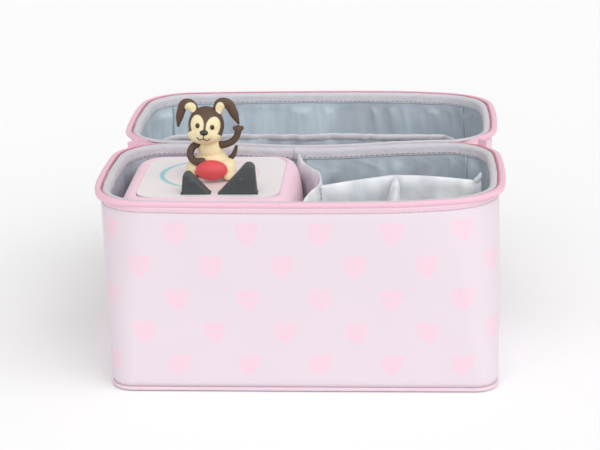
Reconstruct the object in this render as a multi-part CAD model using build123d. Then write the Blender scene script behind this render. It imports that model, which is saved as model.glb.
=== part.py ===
"""Soft zip-up carry case for a cube-shaped children's audio player and its figurines.

The case stands on its flat base with the lid folded right back (180 degrees open), the player in the
left half with a puppy figurine standing on it, and a loose padded organiser in the right half.

Frame: millimetres, +Z up, -Y is the front, origin at the middle of the case's flat underside.
The lid is modelled closed, on top of the case, and then turned about the hinge to its open place.
"""

from build123d import *
import math
import os

# ---------------------------------------------------------------- driving dimensions of the case
HALF_WIDTH = 129.5  # outer fabric, at the ends of the long sides
FRONT_Y = -71.0
REAR_Y = 70.0
FRONT_BOW = 5.0  # the padded front wall curves outward
SIDE_BOW = 2.3
CORNER_RADIUS = 36.0
RIM_Z = 135.0  # the plane where case and lid meet
LID_DEPTH = 60.0
HINGE_Y = 71.2

# ---------------------------------------------------------------- fabric build-up, inward from the outer fabric
FABRIC = 0.8
FOAM_IN = 4.0  # inner face of the foam
LINING_IN = 4.6
BINDING_IN = 5.4
FLOOR_Z = 8.0  # top of the floor pad
WALL_FOOT = 3.6  # gap between base or lid top and the walls' lower edge, filled by the piping

# ---------------------------------------------------------------- rim trim, as distances outward and below the rim
WELT_RADIUS = 1.9
WELT_OUT = 1.2
WELT_DROP = 6.2
TAPE_OUT = 1.9
TAPE_IN = 1.1
TAPE_TOP = 0.4
TAPE_FOOT = 4.2
COIL_IN = -0.4
COIL_TOP = 0.5
COIL_FOOT = 2.0
CAP_OUT = -0.6
CAP_TOP = 1.2
FOAM_TOP = 3.0
BINDING_HEIGHT = 8.8
PIPING_RADIUS = 1.5
PIPING_OUT = 0.2
PIPING_Z = 1.9
TRIM_END_X = 109.0  # welt, tape and coil stop here at the rear corners
STRIP_HALF = 104.0  # half length of the fabric hinge
STRIP_HEIGHT = 16.0

# ---------------------------------------------------------------- handle
HANDLE_WIDTH = 25.0
HANDLE_THICK = 2.0
HANDLE_SPAN = 62.0  # from the middle to where the webbing leaves the lid
HANDLE_RISE = 24.0
HANDLE_FOOT = 26.0
PATCH_THICK = 1.2

# ---------------------------------------------------------------- organiser
PANEL_THICK = 3.0
PANEL_LOW = FLOOR_Z + 0.4
PANEL_TOP = RIM_Z - 7.0
KINK = (10.4, -13.0)  # where the long divider leaves the separator
CROSSING = (62.0, 9.0)  # where the cross divider leaves the long one

# ---------------------------------------------------------------- player
PLAYER_X = -61.0
PLAYER_Y = -2.5
PLAYER_SIDE = 120.0
PLAYER_CORNER = 22.0
PLAYER_TOP = 130.0
PLAYER_BOTTOM = 9.6
SHELL_SIDE = 107.6  # hard housing inside the padded cover
SHELL_CORNER = 15.8
SHELL_LOW = 13.8
SHELL_TOP = 125.8
SHELL_WALL = 2.4
PLATE_SIDE = 96.0
PLATE_CORNER = 15.0
PLATE_TOP = PLAYER_TOP + 0.1
PLATE_THICK = 2.2
SEAT_X = -64.0  # middle of the figurine's place on the player
SEAT_Y = 4.0
RING_RADIUS = 34.5
EAR_BACK_Y = -35.0
EAR_THICK = 9.0
EAR_FIT = 0.5  # gap between an ear and its slot
EAR_STUB = 3.4  # how far an ear reaches below the plate's top
EAR_MIDDLES = {"ear_small": -69.0, "ear_large": -40.0}

# ---------------------------------------------------------------- figurine
TOY_X = -62.5
TOY_Y = 0.0
TOY_FLOOR = PLAYER_TOP + 0.2
TOY_BASE = 1.8

nodes = {}


# ================================================================ helpers
def case_outline(grow=0.0):
    """The case's plan, a rounded rectangle with bowed front and sides, grown or shrunk all round."""
    front_left = (-HALF_WIDTH, FRONT_Y)
    front_right = (HALF_WIDTH, FRONT_Y)
    rear_right = (HALF_WIDTH, REAR_Y)
    rear_left = (-HALF_WIDTH, REAR_Y)
    middle_y = (FRONT_Y + REAR_Y) / 2
    edges = [
        ThreePointArc(front_left, (0, FRONT_Y - FRONT_BOW), front_right),
        ThreePointArc(front_right, (HALF_WIDTH + SIDE_BOW, middle_y), rear_right),
        Line(rear_right, rear_left),
        ThreePointArc(rear_left, (-HALF_WIDTH - SIDE_BOW, middle_y), front_left),
    ]
    face = make_face(edges)
    face = fillet(face.vertices(), CORNER_RADIUS)
    if grow:
        face = offset(face, amount=grow, kind=Kind.ARC)
    return face


def slab(grow, low, high):
    """A full-plan layer of the case between two heights."""
    return extrude(Pos(0, 0, low) * case_outline(grow), amount=high - low)


def ring(outer, inner, low, high):
    """A wall that follows the plan, between two offsets and two heights."""
    return slab(outer, low, high) - slab(inner, low - 1, high + 1)


def round_trim(grow, radius, height):
    """A round cord that follows the plan."""
    path = case_outline(grow).face().outer_wire()
    start = path @ 0
    section = Plane(origin=(start.X, start.Y, 0), z_dir=path % 0) * Circle(radius)
    return Pos(0, 0, height) * sweep(section, path=path)


def without_hinge_side(shape):
    """Trim that runs round the front and both sides, and stops at the rear corners."""
    reach = 60
    low = REAR_Y - CORNER_RADIUS
    return shape - Pos(0, low + reach / 2, RIM_Z) * Box(2 * TRIM_END_X, reach, 4 * LID_DEPTH)


def opened(shape):
    """Turns a piece of the closed lid about the hinge to its open place."""
    return shape.rotate(Axis((0, HINGE_Y, RIM_Z), (1, 0, 0)), 180)


def column(sketch, low, high, x=0.0, y=0.0):
    """A flat shape raised between two heights."""
    return extrude(Pos(x, y, low) * sketch, amount=high - low)


def block(side, corner, low, high):
    """A rounded square prism on the player's own axis."""
    return column(RectangleRounded(side, side, corner), low, high, PLAYER_X, PLAYER_Y)


def disc(radius, low, high, x, y, bore=0.0):
    """An upright disc or ring."""
    shape = Circle(radius) - Circle(bore) if bore else Circle(radius)
    return column(shape, low, high, x, y)


def round_edges(shape, height, radius):
    """Rounds the edges of a shape that lie at one height."""
    return fillet(shape.edges().filter_by(lambda e: abs((e @ 0.5).Z - height) < 0.01), radius)


# ================================================================ case body
def make_case():
    foam_top = RIM_Z - FOAM_TOP
    nodes["case_wall_fabric"] = ring(0, -FABRIC, WALL_FOOT, RIM_Z - WELT_DROP - 2)
    nodes["case_wall_foam"] = ring(-FABRIC, -FOAM_IN, WALL_FOOT, foam_top)
    nodes["case_wall_lining"] = ring(-FOAM_IN, -LINING_IN, FLOOR_Z, foam_top)
    nodes["case_base_fabric"] = slab(-1.6, 0, 1.0)
    nodes["case_base_board"] = slab(-1.6, 1.0, WALL_FOOT - 0.2)
    nodes["case_floor_pad"] = slab(-FOAM_IN - 0.1, WALL_FOOT, FLOOR_Z)
    nodes["case_base_piping"] = round_trim(PIPING_OUT, PIPING_RADIUS, PIPING_Z)
    nodes["case_rim_welt"] = without_hinge_side(round_trim(WELT_OUT, WELT_RADIUS, RIM_Z - WELT_DROP))
    nodes["case_zip_tape"] = without_hinge_side(ring(TAPE_OUT, TAPE_IN, RIM_Z - TAPE_FOOT, RIM_Z - TAPE_TOP))
    nodes["case_zip_coil"] = without_hinge_side(ring(TAPE_IN, COIL_IN, RIM_Z - COIL_FOOT, RIM_Z - COIL_TOP))
    inside = ring(-LINING_IN, -BINDING_IN, RIM_Z - BINDING_HEIGHT, foam_top)
    cap = ring(CAP_OUT, -BINDING_IN, foam_top, RIM_Z - CAP_TOP)
    nodes["case_rim_binding"] = inside + cap
    nodes["hinge_strip_case_side"] = hinge_strip(RIM_Z - STRIP_HEIGHT, RIM_Z - 0.6)


def hinge_strip(low, high):
    """Half of the sewn fabric hinge, on the outside of the rear wall."""
    thick = 0.7
    return Pos(0, REAR_Y + 0.1 + thick / 2, (low + high) / 2) * Box(2 * STRIP_HALF, thick, high - low)


# ================================================================ lid, built closed
def make_lid():
    top = RIM_Z + LID_DEPTH
    foam_low = RIM_Z + FOAM_TOP
    wall_top = top - WALL_FOOT
    ceiling = wall_top - 2
    lid = {
        "lid_wall_fabric": ring(0, -FABRIC, RIM_Z + WELT_DROP + 2, wall_top),
        "lid_wall_foam": ring(-FABRIC, -FOAM_IN, foam_low, wall_top),
        "lid_wall_lining": ring(-FOAM_IN, -LINING_IN, foam_low, ceiling),
        "lid_top_fabric": slab(-1.6, top - 1.0, top),
        "lid_top_board": slab(-1.6, wall_top + 0.2, top - 1.0),
        "lid_top_lining": slab(-FOAM_IN - 0.1, ceiling, wall_top),
        "lid_top_piping": round_trim(PIPING_OUT, PIPING_RADIUS, top - PIPING_Z),
        "lid_rim_welt": without_hinge_side(round_trim(WELT_OUT, WELT_RADIUS, RIM_Z + WELT_DROP)),
        "lid_zip_tape": without_hinge_side(ring(TAPE_OUT, TAPE_IN, RIM_Z + TAPE_TOP, RIM_Z + TAPE_FOOT)),
        "lid_zip_coil": without_hinge_side(ring(TAPE_IN, COIL_IN, RIM_Z + COIL_TOP, RIM_Z + COIL_FOOT)),
        "hinge_strip_lid_side": hinge_strip(RIM_Z + 0.6, RIM_Z + STRIP_HEIGHT),
        "lid_pocket": lid_pocket(RIM_Z + 8, ceiling - 1),
        "handle_strap": handle_strap(top),
        "handle_patches": handle_patches(top),
    }
    inside = ring(-LINING_IN, -BINDING_IN, foam_low, RIM_Z + BINDING_HEIGHT)
    cap = ring(CAP_OUT, -BINDING_IN, RIM_Z + CAP_TOP, foam_low)
    lid["lid_rim_binding"] = inside + cap
    for name, shape in lid.items():
        nodes[name] = opened(shape)


def lid_pocket(low, high):
    """A flat elasticated pocket on the lid's hinge-side wall, standing off the lining."""
    half = 100.0
    rear = REAR_Y - BINDING_IN - 0.6
    depth = 12.0
    skin = 1.0
    outer = Pos(0, rear - depth / 2, (low + high) / 2) * Box(2 * half, depth, high - low)
    room = Pos(0, rear - depth / 2, (low + high) / 2 - skin) * Box(2 * (half - skin), depth - 2 * skin, high - low)
    return outer - room


def handle_strap(top):
    """A webbing grab handle that rises from two flat feet."""
    low = top + PATCH_THICK + HANDLE_THICK / 2
    crown = low + HANDLE_RISE
    slope = 22.0
    line = FilletPolyline(
        (-HANDLE_SPAN - HANDLE_FOOT, low),
        (-HANDLE_SPAN, low),
        (-HANDLE_SPAN + slope, crown),
        (HANDLE_SPAN - slope, crown),
        (HANDLE_SPAN, low),
        (HANDLE_SPAN + HANDLE_FOOT, low),
        radius=10,
    )
    profile = Plane.XZ * trace(line, line_width=HANDLE_THICK)
    return Pos(0, HANDLE_WIDTH / 2, 0) * extrude(profile, amount=HANDLE_WIDTH)


def handle_patches(top):
    """The two reinforcing patches under the handle's feet."""
    middle = HANDLE_SPAN + HANDLE_FOOT / 2
    patch = Box(HANDLE_FOOT + 4, HANDLE_WIDTH + 5, PATCH_THICK)
    return Compound(children=[Pos(side * middle, 0, top + PATCH_THICK / 2) * patch for side in (-1, 1)])


# ================================================================ zip sliders and pulls
def make_zip_hardware():
    """Both sliders are parked at the rear corners. Local x runs along the zip, y outward, z up."""
    turn = 50.0
    arc = [e for e in case_outline().edges() if e.geom_type == GeomType.CIRCLE and e.radius < 2 * CORNER_RADIUS]
    corner = max((e.arc_center for e in arc), key=lambda c: c.X + c.Y)
    for side, name in ((-1, "left"), (1, "right")):
        place = Pos(side * corner.X, corner.Y, RIM_Z) * Rot(0, 0, -side * turn) * Pos(0, CORNER_RADIUS, 0)
        nodes["zip_slider_" + name] = place * zip_slider()
        nodes["zip_pull_" + name] = place * zip_pull()
        bail = (place * Pos(0, 4.5, -1.6)).position
        print("pull hinge", name, [round(v, 2) for v in (bail.X, bail.Y, bail.Z)])


def zip_slider():
    """The slider's outer plate with the small bridge that the pull hangs from."""
    plate = Pos(0, 2.85, -0.2) * Box(9.0, 1.1, 7.6)
    post_low = Pos(0, 4.8, -2.6) * Box(2.0, 3.2, 0.9)
    post_high = Pos(0, 4.8, 2.0) * Box(2.0, 3.2, 0.9)
    bridge = Pos(0, 5.9, -0.3) * Box(2.0, 1.0, 5.5)
    return plate + post_low + post_high + bridge


def zip_pull():
    """A wire loop through the slider's bridge, with a flat moulded tab on it."""
    top = -1.6
    foot = -9.0
    half = 2.6
    wire = 0.45
    middle = 4.5
    bars = [
        Pos(0, middle, top) * Rot(0, 90, 0) * Cylinder(wire, 2 * half + 2 * wire),
        Pos(-half, middle, (top + foot) / 2) * Cylinder(wire, top - foot),
        Pos(half, middle, (top + foot) / 2) * Cylinder(wire, top - foot),
    ]
    tab = Pos(0, middle, foot - 5.5) * Box(8.0, 1.8, 13.0)
    tab = fillet(tab.edges().filter_by(Axis.Y), 2.5)
    return tab + bars[0] + bars[1] + bars[2]


# ================================================================ organiser
def make_organiser():
    """Padded fabric panels sewn to each other, standing loose on the case's floor."""
    fold = (3.6, 34.0)
    rear = panel(ThreePointArc((-5.5, 62.0), (-0.8, 46.0), fold))
    rear += panel(ThreePointArc(fold, (8.8, 22.0), KINK))
    rear += column(Circle(PANEL_THICK / 2), PANEL_LOW, PANEL_TOP, *fold)
    front = panel(ThreePointArc(KINK, (4.0, -38.0), (2.2, -67.0)))
    joint = column(Circle(PANEL_THICK / 2), PANEL_LOW, PANEL_TOP, *KINK)
    separator = rear + joint + front
    nodes["organiser_separator"] = separator
    left = panel(ThreePointArc(KINK, (37.9, -1.6), CROSSING))
    right = panel(ThreePointArc(CROSSING, (92.0, 7.5), (122.0, -2.5)))
    peak = column(Circle(PANEL_THICK / 2), PANEL_LOW, PANEL_TOP, *CROSSING)
    long_divider = left + peak + right - separator
    nodes["organiser_long_divider"] = long_divider
    cross = panel(ThreePointArc(CROSSING, (63.2, -26.0), (61.0, -65.5)))
    nodes["organiser_cross_divider"] = cross - long_divider


def panel(path):
    """An upright padded sheet that follows a path in plan."""
    return column(trace(path, line_width=PANEL_THICK), PANEL_LOW, PANEL_TOP)


# ================================================================ player
def make_player_shell():
    """The padded fabric cover, the plate on top and the printed ring let into it."""
    recess = PLATE_TOP - PLATE_THICK
    cover = block(PLAYER_SIDE, PLAYER_CORNER, PLAYER_BOTTOM, PLAYER_TOP)
    cover = round_edges(cover, PLAYER_TOP, 11)
    cover = round_edges(cover, PLAYER_BOTTOM, 7)
    cover -= block(SHELL_SIDE + 0.4, SHELL_CORNER + 0.2, SHELL_LOW - 0.2, SHELL_TOP + 0.2)
    cover -= block(SHELL_SIDE - 12, SHELL_CORNER - 2, PLAYER_BOTTOM - 1, SHELL_LOW)
    cover -= block(90, 12, SHELL_TOP, PLAYER_TOP)
    cover -= block(PLATE_SIDE + 0.6, PLATE_CORNER + 0.3, recess - 0.1, PLAYER_TOP + 1)
    nodes["player_fabric_cover"] = cover
    plate = block(PLATE_SIDE, PLATE_CORNER, recess, PLATE_TOP) - ring_inlay(0.7)
    for outline in ear_outlines().values():
        hole = offset(outline.face(), amount=EAR_FIT, kind=Kind.ARC)
        plate -= Pos(0, EAR_FIT, 0) * extrude(hole, amount=EAR_THICK + 2 * EAR_FIT)
    nodes["player_top_plate"] = plate
    nodes["player_seat_ring"] = ring_inlay(0.6)


def ring_inlay(deep):
    """The coloured ring round the figurine's seat, a little wider on one side."""
    outer = disc(RING_RADIUS, PLATE_TOP - deep, PLATE_TOP, SEAT_X, SEAT_Y)
    return outer - disc(RING_RADIUS - 2.3, PLATE_TOP - deep, PLATE_TOP, SEAT_X + 1.2, SEAT_Y)


def ear_outlines():
    """Front outlines of the two ears: rounded triangles, each with one upright side."""
    low = PLATE_TOP - EAR_STUB
    small = [(-78.4, low), (-78.2, PLATE_TOP), (-76.2, PLATE_TOP + 18.5), (-59.0, PLATE_TOP), (-59.0, low)]
    large = [(-53.4, low), (-53.4, PLATE_TOP), (-29.6, PLATE_TOP + 26.0), (-27.6, PLATE_TOP), (-27.4, low)]
    back = Plane(origin=(0, EAR_BACK_Y, 0), x_dir=(1, 0, 0), z_dir=(0, -1, 0))
    outlines = {}
    for name, points, tip in (("ear_small", small, 3.2), ("ear_large", large, 4.0)):
        face = make_face(Polyline(*points, close=True))
        peak = face.vertices().sort_by(Axis.Y)[-1]
        outlines[name] = back * fillet(peak, tip)
    return outlines


def make_ears():
    """The two ear-shaped buttons that stand up through the plate."""
    for name, outline in ear_outlines().items():
        ear = extrude(outline, amount=EAR_THICK)
        rims = ear.edges().filter_by(lambda e: abs((e % 0.5).Y) < 0.1 and (e @ 0.5).Z > PLATE_TOP + 1)
        nodes[name] = fillet(rims, 1.5)


def make_player_insides():
    """The hard housing and what a wireless audio player holds to work."""
    shell = block(SHELL_SIDE, SHELL_CORNER, SHELL_LOW, SHELL_TOP)
    shell -= block(SHELL_SIDE - 2 * SHELL_WALL, SHELL_CORNER - SHELL_WALL, SHELL_LOW - 1, SHELL_TOP - SHELL_WALL)
    front = PLAYER_Y - SHELL_SIDE / 2
    speaker = Pos(PLAYER_X, front, 70) * Rot(-90, 0, 0)
    shell -= speaker * Cylinder(27, 4 * SHELL_WALL)
    ear_y = EAR_BACK_Y - EAR_THICK / 2
    for x in EAR_MIDDLES.values():
        shell -= Pos(x, ear_y, SHELL_TOP) * Box(9, 7, 4 * SHELL_WALL)
    nodes["player_inner_housing"] = shell

    base = block(SHELL_SIDE - 12.6, SHELL_CORNER - 2.3, PLAYER_BOTTOM + 0.4, SHELL_LOW - 0.2)
    holes = [(PLAYER_X + sx * 38, PLAYER_Y + sy * 38) for sx in (-1, 1) for sy in (-1, 1)]
    pins = [(PLAYER_X + dx, PLAYER_Y + 22) for dx in (-8, 0, 8)]
    for x, y in holes:
        base -= disc(1.6, 0, 20, x, y)
        base -= disc(3.3, 0, PLAYER_BOTTOM + 2.4, x, y)
    for x, y in pins:
        base -= disc(2.0, 0, 20, x, y)
    nodes["player_base_plate"] = base
    screws = [disc(3.0, PLAYER_BOTTOM + 0.8, PLAYER_BOTTOM + 2.4, x, y) + disc(1.5, 12, 20, x, y) for x, y in holes]
    nodes["player_base_screws"] = Compound(children=screws)
    nodes["player_charge_contacts"] = Compound(children=[disc(1.9, PLAYER_BOTTOM + 0.5, 14.5, x, y) for x, y in pins])
    nodes["player_foot_ring"] = disc(34, FLOOR_Z + 0.05, PLAYER_BOTTOM + 0.4, PLAYER_X, PLAYER_Y, bore=29)

    nodes["player_speaker"] = speaker * speaker_basket()
    nodes["player_speaker_magnet"] = speaker * Pos(0, 0, 21) * Cylinder(15, 9)
    nodes["player_circuit_board"] = Pos(PLAYER_X, PLAYER_Y + 44, 72) * Box(84, 1.6, 70)
    tray = Box(62, 50, 12) - Pos(0, 0, 2) * Box(58, 46, 12)
    nodes["player_battery_tray"] = Pos(PLAYER_X, PLAYER_Y + 18, 21) * tray
    cell = Rot(0, 90, 0) * Cylinder(7.1, 50)
    cells = [Pos(PLAYER_X, PLAYER_Y + 18 + dy, 24.5) * cell for dy in (-14.6, 0, 14.6)]
    nodes["player_battery_cells"] = Compound(children=cells)
    nodes["player_tag_antenna"] = disc(25, 121.8, 122.8, SEAT_X, SEAT_Y, bore=19)
    angles = [math.radians(a) for a in (90, 210, 330)]
    magnets = [disc(4, 119.8, 122.8, SEAT_X + 12 * math.cos(a), SEAT_Y + 12 * math.sin(a)) for a in angles]
    nodes["player_seat_magnets"] = Compound(children=magnets)
    switches = [Pos(x, ear_y, 118.6) * Box(6, 6, 5) for x in EAR_MIDDLES.values()]
    nodes["player_ear_switches"] = Compound(children=switches)


def speaker_basket():
    """A speaker's basket and cone, open towards -Z."""
    outer = [(26, 2.6), (26, 4.6), (12, 16.4), (0, 16.4), (0, 13.9), (11, 13.9), (23.2, 3.8), (24.2, 2.6)]
    return revolve(Plane.XZ * make_face(Polyline(*outer, close=True)), axis=Axis.Z)


# ================================================================ figurine
def make_figurine():
    """A seated puppy with one paw up and a ball at its feet, as plain shapes of the right size."""
    x, y, floor = TOY_X, TOY_Y, TOY_FLOOR
    profile = [(0, 0), (14.5, 0), (15.5, 4), (14.5, 9), (9.5, 16), (7.5, 23), (7, 28), (0, 28)]
    torso = Pos(x, y, floor + TOY_BASE) * revolve(Plane.XZ * make_face(Polyline(*profile, close=True)), axis=Axis.Z)
    raised_arm = limb((x + 7, y, floor + 20.5), (x + 15.5, y, floor + 26), (x + 19, y - 1, floor + 37), 2.8)
    resting_arm = limb((x - 7, y, floor + 21), (x - 13, y - 4, floor + 16), (x - 6.5, y - 11, floor + 13.5), 2.8)
    tail = limb((x + 11, y + 8, floor + 10), (x + 13.5, y + 9, floor + 15), (x + 15, y + 9, floor + 21), 1.9)
    body = torso + raised_arm + resting_arm + tail
    nodes["figurine_body"] = body
    head_z = floor + 36.5
    head = Pos(x - 2.5, y - 1, head_z) * Sphere(12.8)
    muzzle = Pos(x - 2.5, y - 10.5, head_z - 4) * Sphere(6.0)
    left_ear = limb((x - 11, y, head_z + 9), (x - 17.5, y, head_z + 6), (x - 20, y, head_z - 4), 3.0)
    right_ear = limb((x + 5, y, head_z + 13), (x + 12, y, head_z + 13), (x + 17.5, y, head_z + 4.5), 3.0)
    nodes["figurine_head"] = head + muzzle + left_ear + right_ear - body
    ball_radius = 8.6
    ball = Pos(x + 0.5, y - 14.5, floor + TOY_BASE + ball_radius) * Sphere(ball_radius)
    nodes["figurine_ball"] = ball - body
    nodes["figurine_base_disc"] = disc(14.4, floor, floor + TOY_BASE, x, y, bore=10.3)
    nodes["figurine_magnet"] = disc(10.2, floor + 0.1, floor + 1.0, x, y)
    nodes["figurine_tag"] = disc(10.2, floor + 1.05, floor + 1.75, x, y)


def limb(start, middle, end, radius):
    """Two round-ended rods that meet at a ball."""
    shape = Pos(*start) * Sphere(radius) + Pos(*middle) * Sphere(radius) + Pos(*end) * Sphere(radius)
    for a, b in ((start, middle), (middle, end)):
        line = Line(a, b)
        shape += sweep(Plane(origin=line @ 0, z_dir=line % 0) * Circle(radius), path=line)
    return shape


def main():
    make_case()
    make_lid()
    make_zip_hardware()
    make_organiser()
    make_player_shell()
    make_ears()
    make_player_insides()
    make_figurine()
    os.makedirs("parts", exist_ok=True)
    for name, shape in nodes.items():
        export_step(shape, "parts/" + name + ".step")


main()
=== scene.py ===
"""Looks for the open carry case: fabric, trim, organiser, player and figurine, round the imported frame."""

import math

import bmesh
import bpy
import numpy as np
from mathutils import Matrix, Vector, noise


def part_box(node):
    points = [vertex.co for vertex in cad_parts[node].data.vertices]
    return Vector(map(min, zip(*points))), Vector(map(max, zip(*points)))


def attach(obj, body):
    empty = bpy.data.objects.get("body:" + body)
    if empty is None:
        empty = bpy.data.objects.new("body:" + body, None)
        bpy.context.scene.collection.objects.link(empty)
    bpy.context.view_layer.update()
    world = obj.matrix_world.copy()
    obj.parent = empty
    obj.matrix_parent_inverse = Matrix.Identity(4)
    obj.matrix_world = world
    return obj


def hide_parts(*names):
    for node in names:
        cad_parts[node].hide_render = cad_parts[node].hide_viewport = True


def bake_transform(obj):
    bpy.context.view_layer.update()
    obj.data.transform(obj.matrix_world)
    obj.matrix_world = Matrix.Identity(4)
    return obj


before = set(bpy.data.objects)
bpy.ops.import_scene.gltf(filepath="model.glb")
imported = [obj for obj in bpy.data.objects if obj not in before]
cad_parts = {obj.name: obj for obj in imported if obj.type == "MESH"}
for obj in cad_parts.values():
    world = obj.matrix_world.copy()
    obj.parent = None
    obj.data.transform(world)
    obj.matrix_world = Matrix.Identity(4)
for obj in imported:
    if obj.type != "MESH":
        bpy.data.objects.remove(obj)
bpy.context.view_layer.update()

MM = 0.001

# ---------------------------------------------------------------- plan of the case, in millimetres
HALF_WIDTH = 129.5
FRONT_Y = -71.0
REAR_Y = 70.0
FRONT_BOW = 5.0
SIDE_BOW = 4.2
CORNER_RADIUS = 36.0
FOOT_FRONT_BOW = 0.4
FOOT_SIDE_BOW = 1.2
FOOT_FRONT_RADIUS = 15.0
FOOT_SHIFT = 2.4  # the soft walls lean a little toward the right at the foot
CORNER_PULL = 7.0  # how far the right front corner of the rim is drawn back
RIM_Z = 135.0
LID_FLOOR_Z = 75.0  # the lid's outside top, which is lowest when the lid is folded back
HINGE_Y = 71.2
TRIM_END_X = 104.0  # where the zip ends, under the hinge strip
REAR_CORNER_X = 97.5  # where the straight rear wall starts to curve
SAG = 3.6  # how far the soft hinge edge dips in the middle
HINGE_HALF = 112.0  # half the hinge strip's width
CASE_LINING_Z = 8.0  # where the lining starts above the floor, in the case and in the lid
LID_LINING_Z = LID_FLOOR_Z + 5.6
PIPING_RISE = 1.9  # the edge piping's middle above the foot of the wall
WALL_TOP_Z = RIM_Z - 6.4
DIP_TOP_Z = RIM_Z - 16  # everything above this height takes the whole dip


# ================================================================ plan curve
def smooth(low, high, value):
    """Eases from 0 to 1 as the value goes from low to high."""
    t = min(1, max(0, (value - low) / (high - low)))
    return t * t * (3 - 2 * t)


class Plan:
    """The case's plan as points, outward directions and lengths along it, at the rim and at the foot.

    It starts at the middle of the rear wall and runs past the right side, the front and the left side."""

    def __init__(self, count):
        rim_p, rim_n = outline(FRONT_BOW, SIDE_BOW, CORNER_RADIUS)
        foot_p, foot_n = outline(FOOT_FRONT_BOW, FOOT_SIDE_BOW, FOOT_FRONT_RADIUS)
        along = np.concatenate([[0], np.cumsum(np.linalg.norm(np.diff(rim_p, axis=0), axis=1))])
        self.length = along[-1]
        self.s = np.linspace(0, self.length, count + 1)
        self.p, self.n, self.foot_p, self.foot_n = (
            np.column_stack([np.interp(self.s, along, part[:, i]) for i in (0, 1)])
            for part in (rim_p, rim_n, foot_p, foot_n)
        )
        self.foot_p[:, 0] += FOOT_SHIFT
        self.p[:, 1] += [CORNER_PULL * smooth(58, 128, x) * (1 - smooth(-60, 30, y)) for x, y in self.p]

    def between(self, low, high):
        """The stretch of samples whose length along the plan lies between two values."""
        keep = (self.s >= low) & (self.s <= high)
        part = Plan.__new__(Plan)
        part.length, part.s, part.p, part.n = self.length, self.s[keep], self.p[keep], self.n[keep]
        part.foot_p, part.foot_n = self.foot_p[keep], self.foot_n[keep]
        return part

    def at(self, i, out, z):
        """The plan point i moved outward by out, at a height: the corners get squarer toward the foot."""
        foot = min(1.0, max(0.0, (RIM_Z - 12 - z) / (RIM_Z - 12))) ** 0.8
        p = self.p[i] * (1 - foot) + self.foot_p[i] * foot
        n = self.n[i] * (1 - foot) + self.foot_n[i] * foot
        return p + n / np.linalg.norm(n) * out


def outline(front_bow, side_bow, front_radius):
    """Points and outward directions round a plan with bowed front and sides, 400 to each of its arcs."""
    middle_y = (FRONT_Y + REAR_Y) / 2
    half_depth = (REAR_Y - FRONT_Y) / 2
    side_r = (half_depth**2 + side_bow**2) / (2 * side_bow)
    front_r = (HALF_WIDTH**2 + front_bow**2) / (2 * front_bow)
    side_c = (HALF_WIDTH + side_bow - side_r, middle_y)
    front_c = (0.0, FRONT_Y - front_bow + front_r)
    r = CORNER_RADIUS
    rear_y = REAR_Y - r
    rear_corner = (side_c[0] + math.sqrt((side_r - r) ** 2 - (rear_y - side_c[1]) ** 2), rear_y)
    front_corner = meeting_point(side_c, side_r - front_radius, front_c, front_r - front_radius)
    arcs = [
        (None, (0.0, REAR_Y), (rear_corner[0], REAR_Y)),
        (rear_corner, r, math.pi / 2, heading(side_c, rear_corner)),
        (side_c, side_r, heading(side_c, rear_corner), heading(side_c, front_corner)),
        (front_corner, front_radius, heading(side_c, front_corner), heading(front_c, front_corner)),
        (front_c, front_r, heading(front_c, front_corner), -math.pi / 2),
    ]
    points, normals = [], []
    for arc in arcs:
        for t in np.linspace(0, 1, 400, endpoint=False):
            if arc[0] is None:
                points.append(np.array(arc[1]) * (1 - t) + np.array(arc[2]) * t)
                normals.append(np.array((0.0, 1.0)))
            else:
                angle = arc[2] + (arc[3] - arc[2]) * t
                way = np.array((math.cos(angle), math.sin(angle)))
                points.append(np.array(arc[0]) + arc[1] * way)
                normals.append(way)
    points, normals = np.array(points), np.array(normals)
    mirror = np.array((-1.0, 1.0))
    points = np.vstack([points, [[0.0, FRONT_Y - front_bow]], points[:0:-1] * mirror, points[:1]])
    normals = np.vstack([normals, [[0.0, -1.0]], normals[:0:-1] * mirror, normals[:1]])
    return points, normals


def heading(a, b):
    return math.atan2(b[1] - a[1], b[0] - a[0])


def meeting_point(a, ra, b, rb):
    """Where two circles cross, on the right and to the front."""
    d = math.dist(a, b)
    along = (ra**2 - rb**2 + d**2) / (2 * d)
    up = math.sqrt(ra**2 - along**2)
    ux, uy = (b[0] - a[0]) / d, (b[1] - a[1]) / d
    found = [(a[0] + along * ux + k * up * uy, a[1] + along * uy - k * up * ux) for k in (1, -1)]
    return min(found, key=lambda q: q[1] - q[0])


PLAN = Plan(640)
FINE = Plan(1600)


def rear_dip(x, y):
    """How far the rim hangs down along the soft hinge side, in millimetres."""
    return SAG * math.cos(min(1, abs(x) / 100) * math.pi / 2) ** 2 * smooth(20, 66, y)


def wobble(x, y, z, size, seed=0.0):
    """Gentle noise between -1 and 1, for a feature size in millimetres."""
    return noise.noise(Vector((x / size + seed, y / size - seed, z / size + 2 * seed)))


def running(points):
    """The length along a line of points, at each of them."""
    along = [0.0]
    for a, b in zip(points, points[1:]):
        along.append(along[-1] + math.dist(a, b))
    return along


def box_in_mm(node):
    """The low and high corners of a CAD node's box, in millimetres."""
    return [[c / MM for c in corner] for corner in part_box(node)]


# ================================================================ mesh builders
def new_object(name, vertices, faces, uvs=None):
    """A mesh object from millimetre points. uvs holds one (u, v) in millimetres for each face corner."""
    mesh = bpy.data.meshes.new(name)
    mesh.from_pydata([tuple(c * MM for c in v) for v in vertices], [], faces)
    if uvs is not None:
        layer = mesh.uv_layers.new(name="Cloth")
        layer.data.foreach_set("uv", np.array([c * MM for uv in uvs for c in uv], np.float32))
    mesh.validate()
    mesh.polygons.foreach_set("use_smooth", [True] * len(mesh.polygons))
    obj = bpy.data.objects.new(name, mesh)
    bpy.context.scene.collection.objects.link(obj)
    return obj


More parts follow.
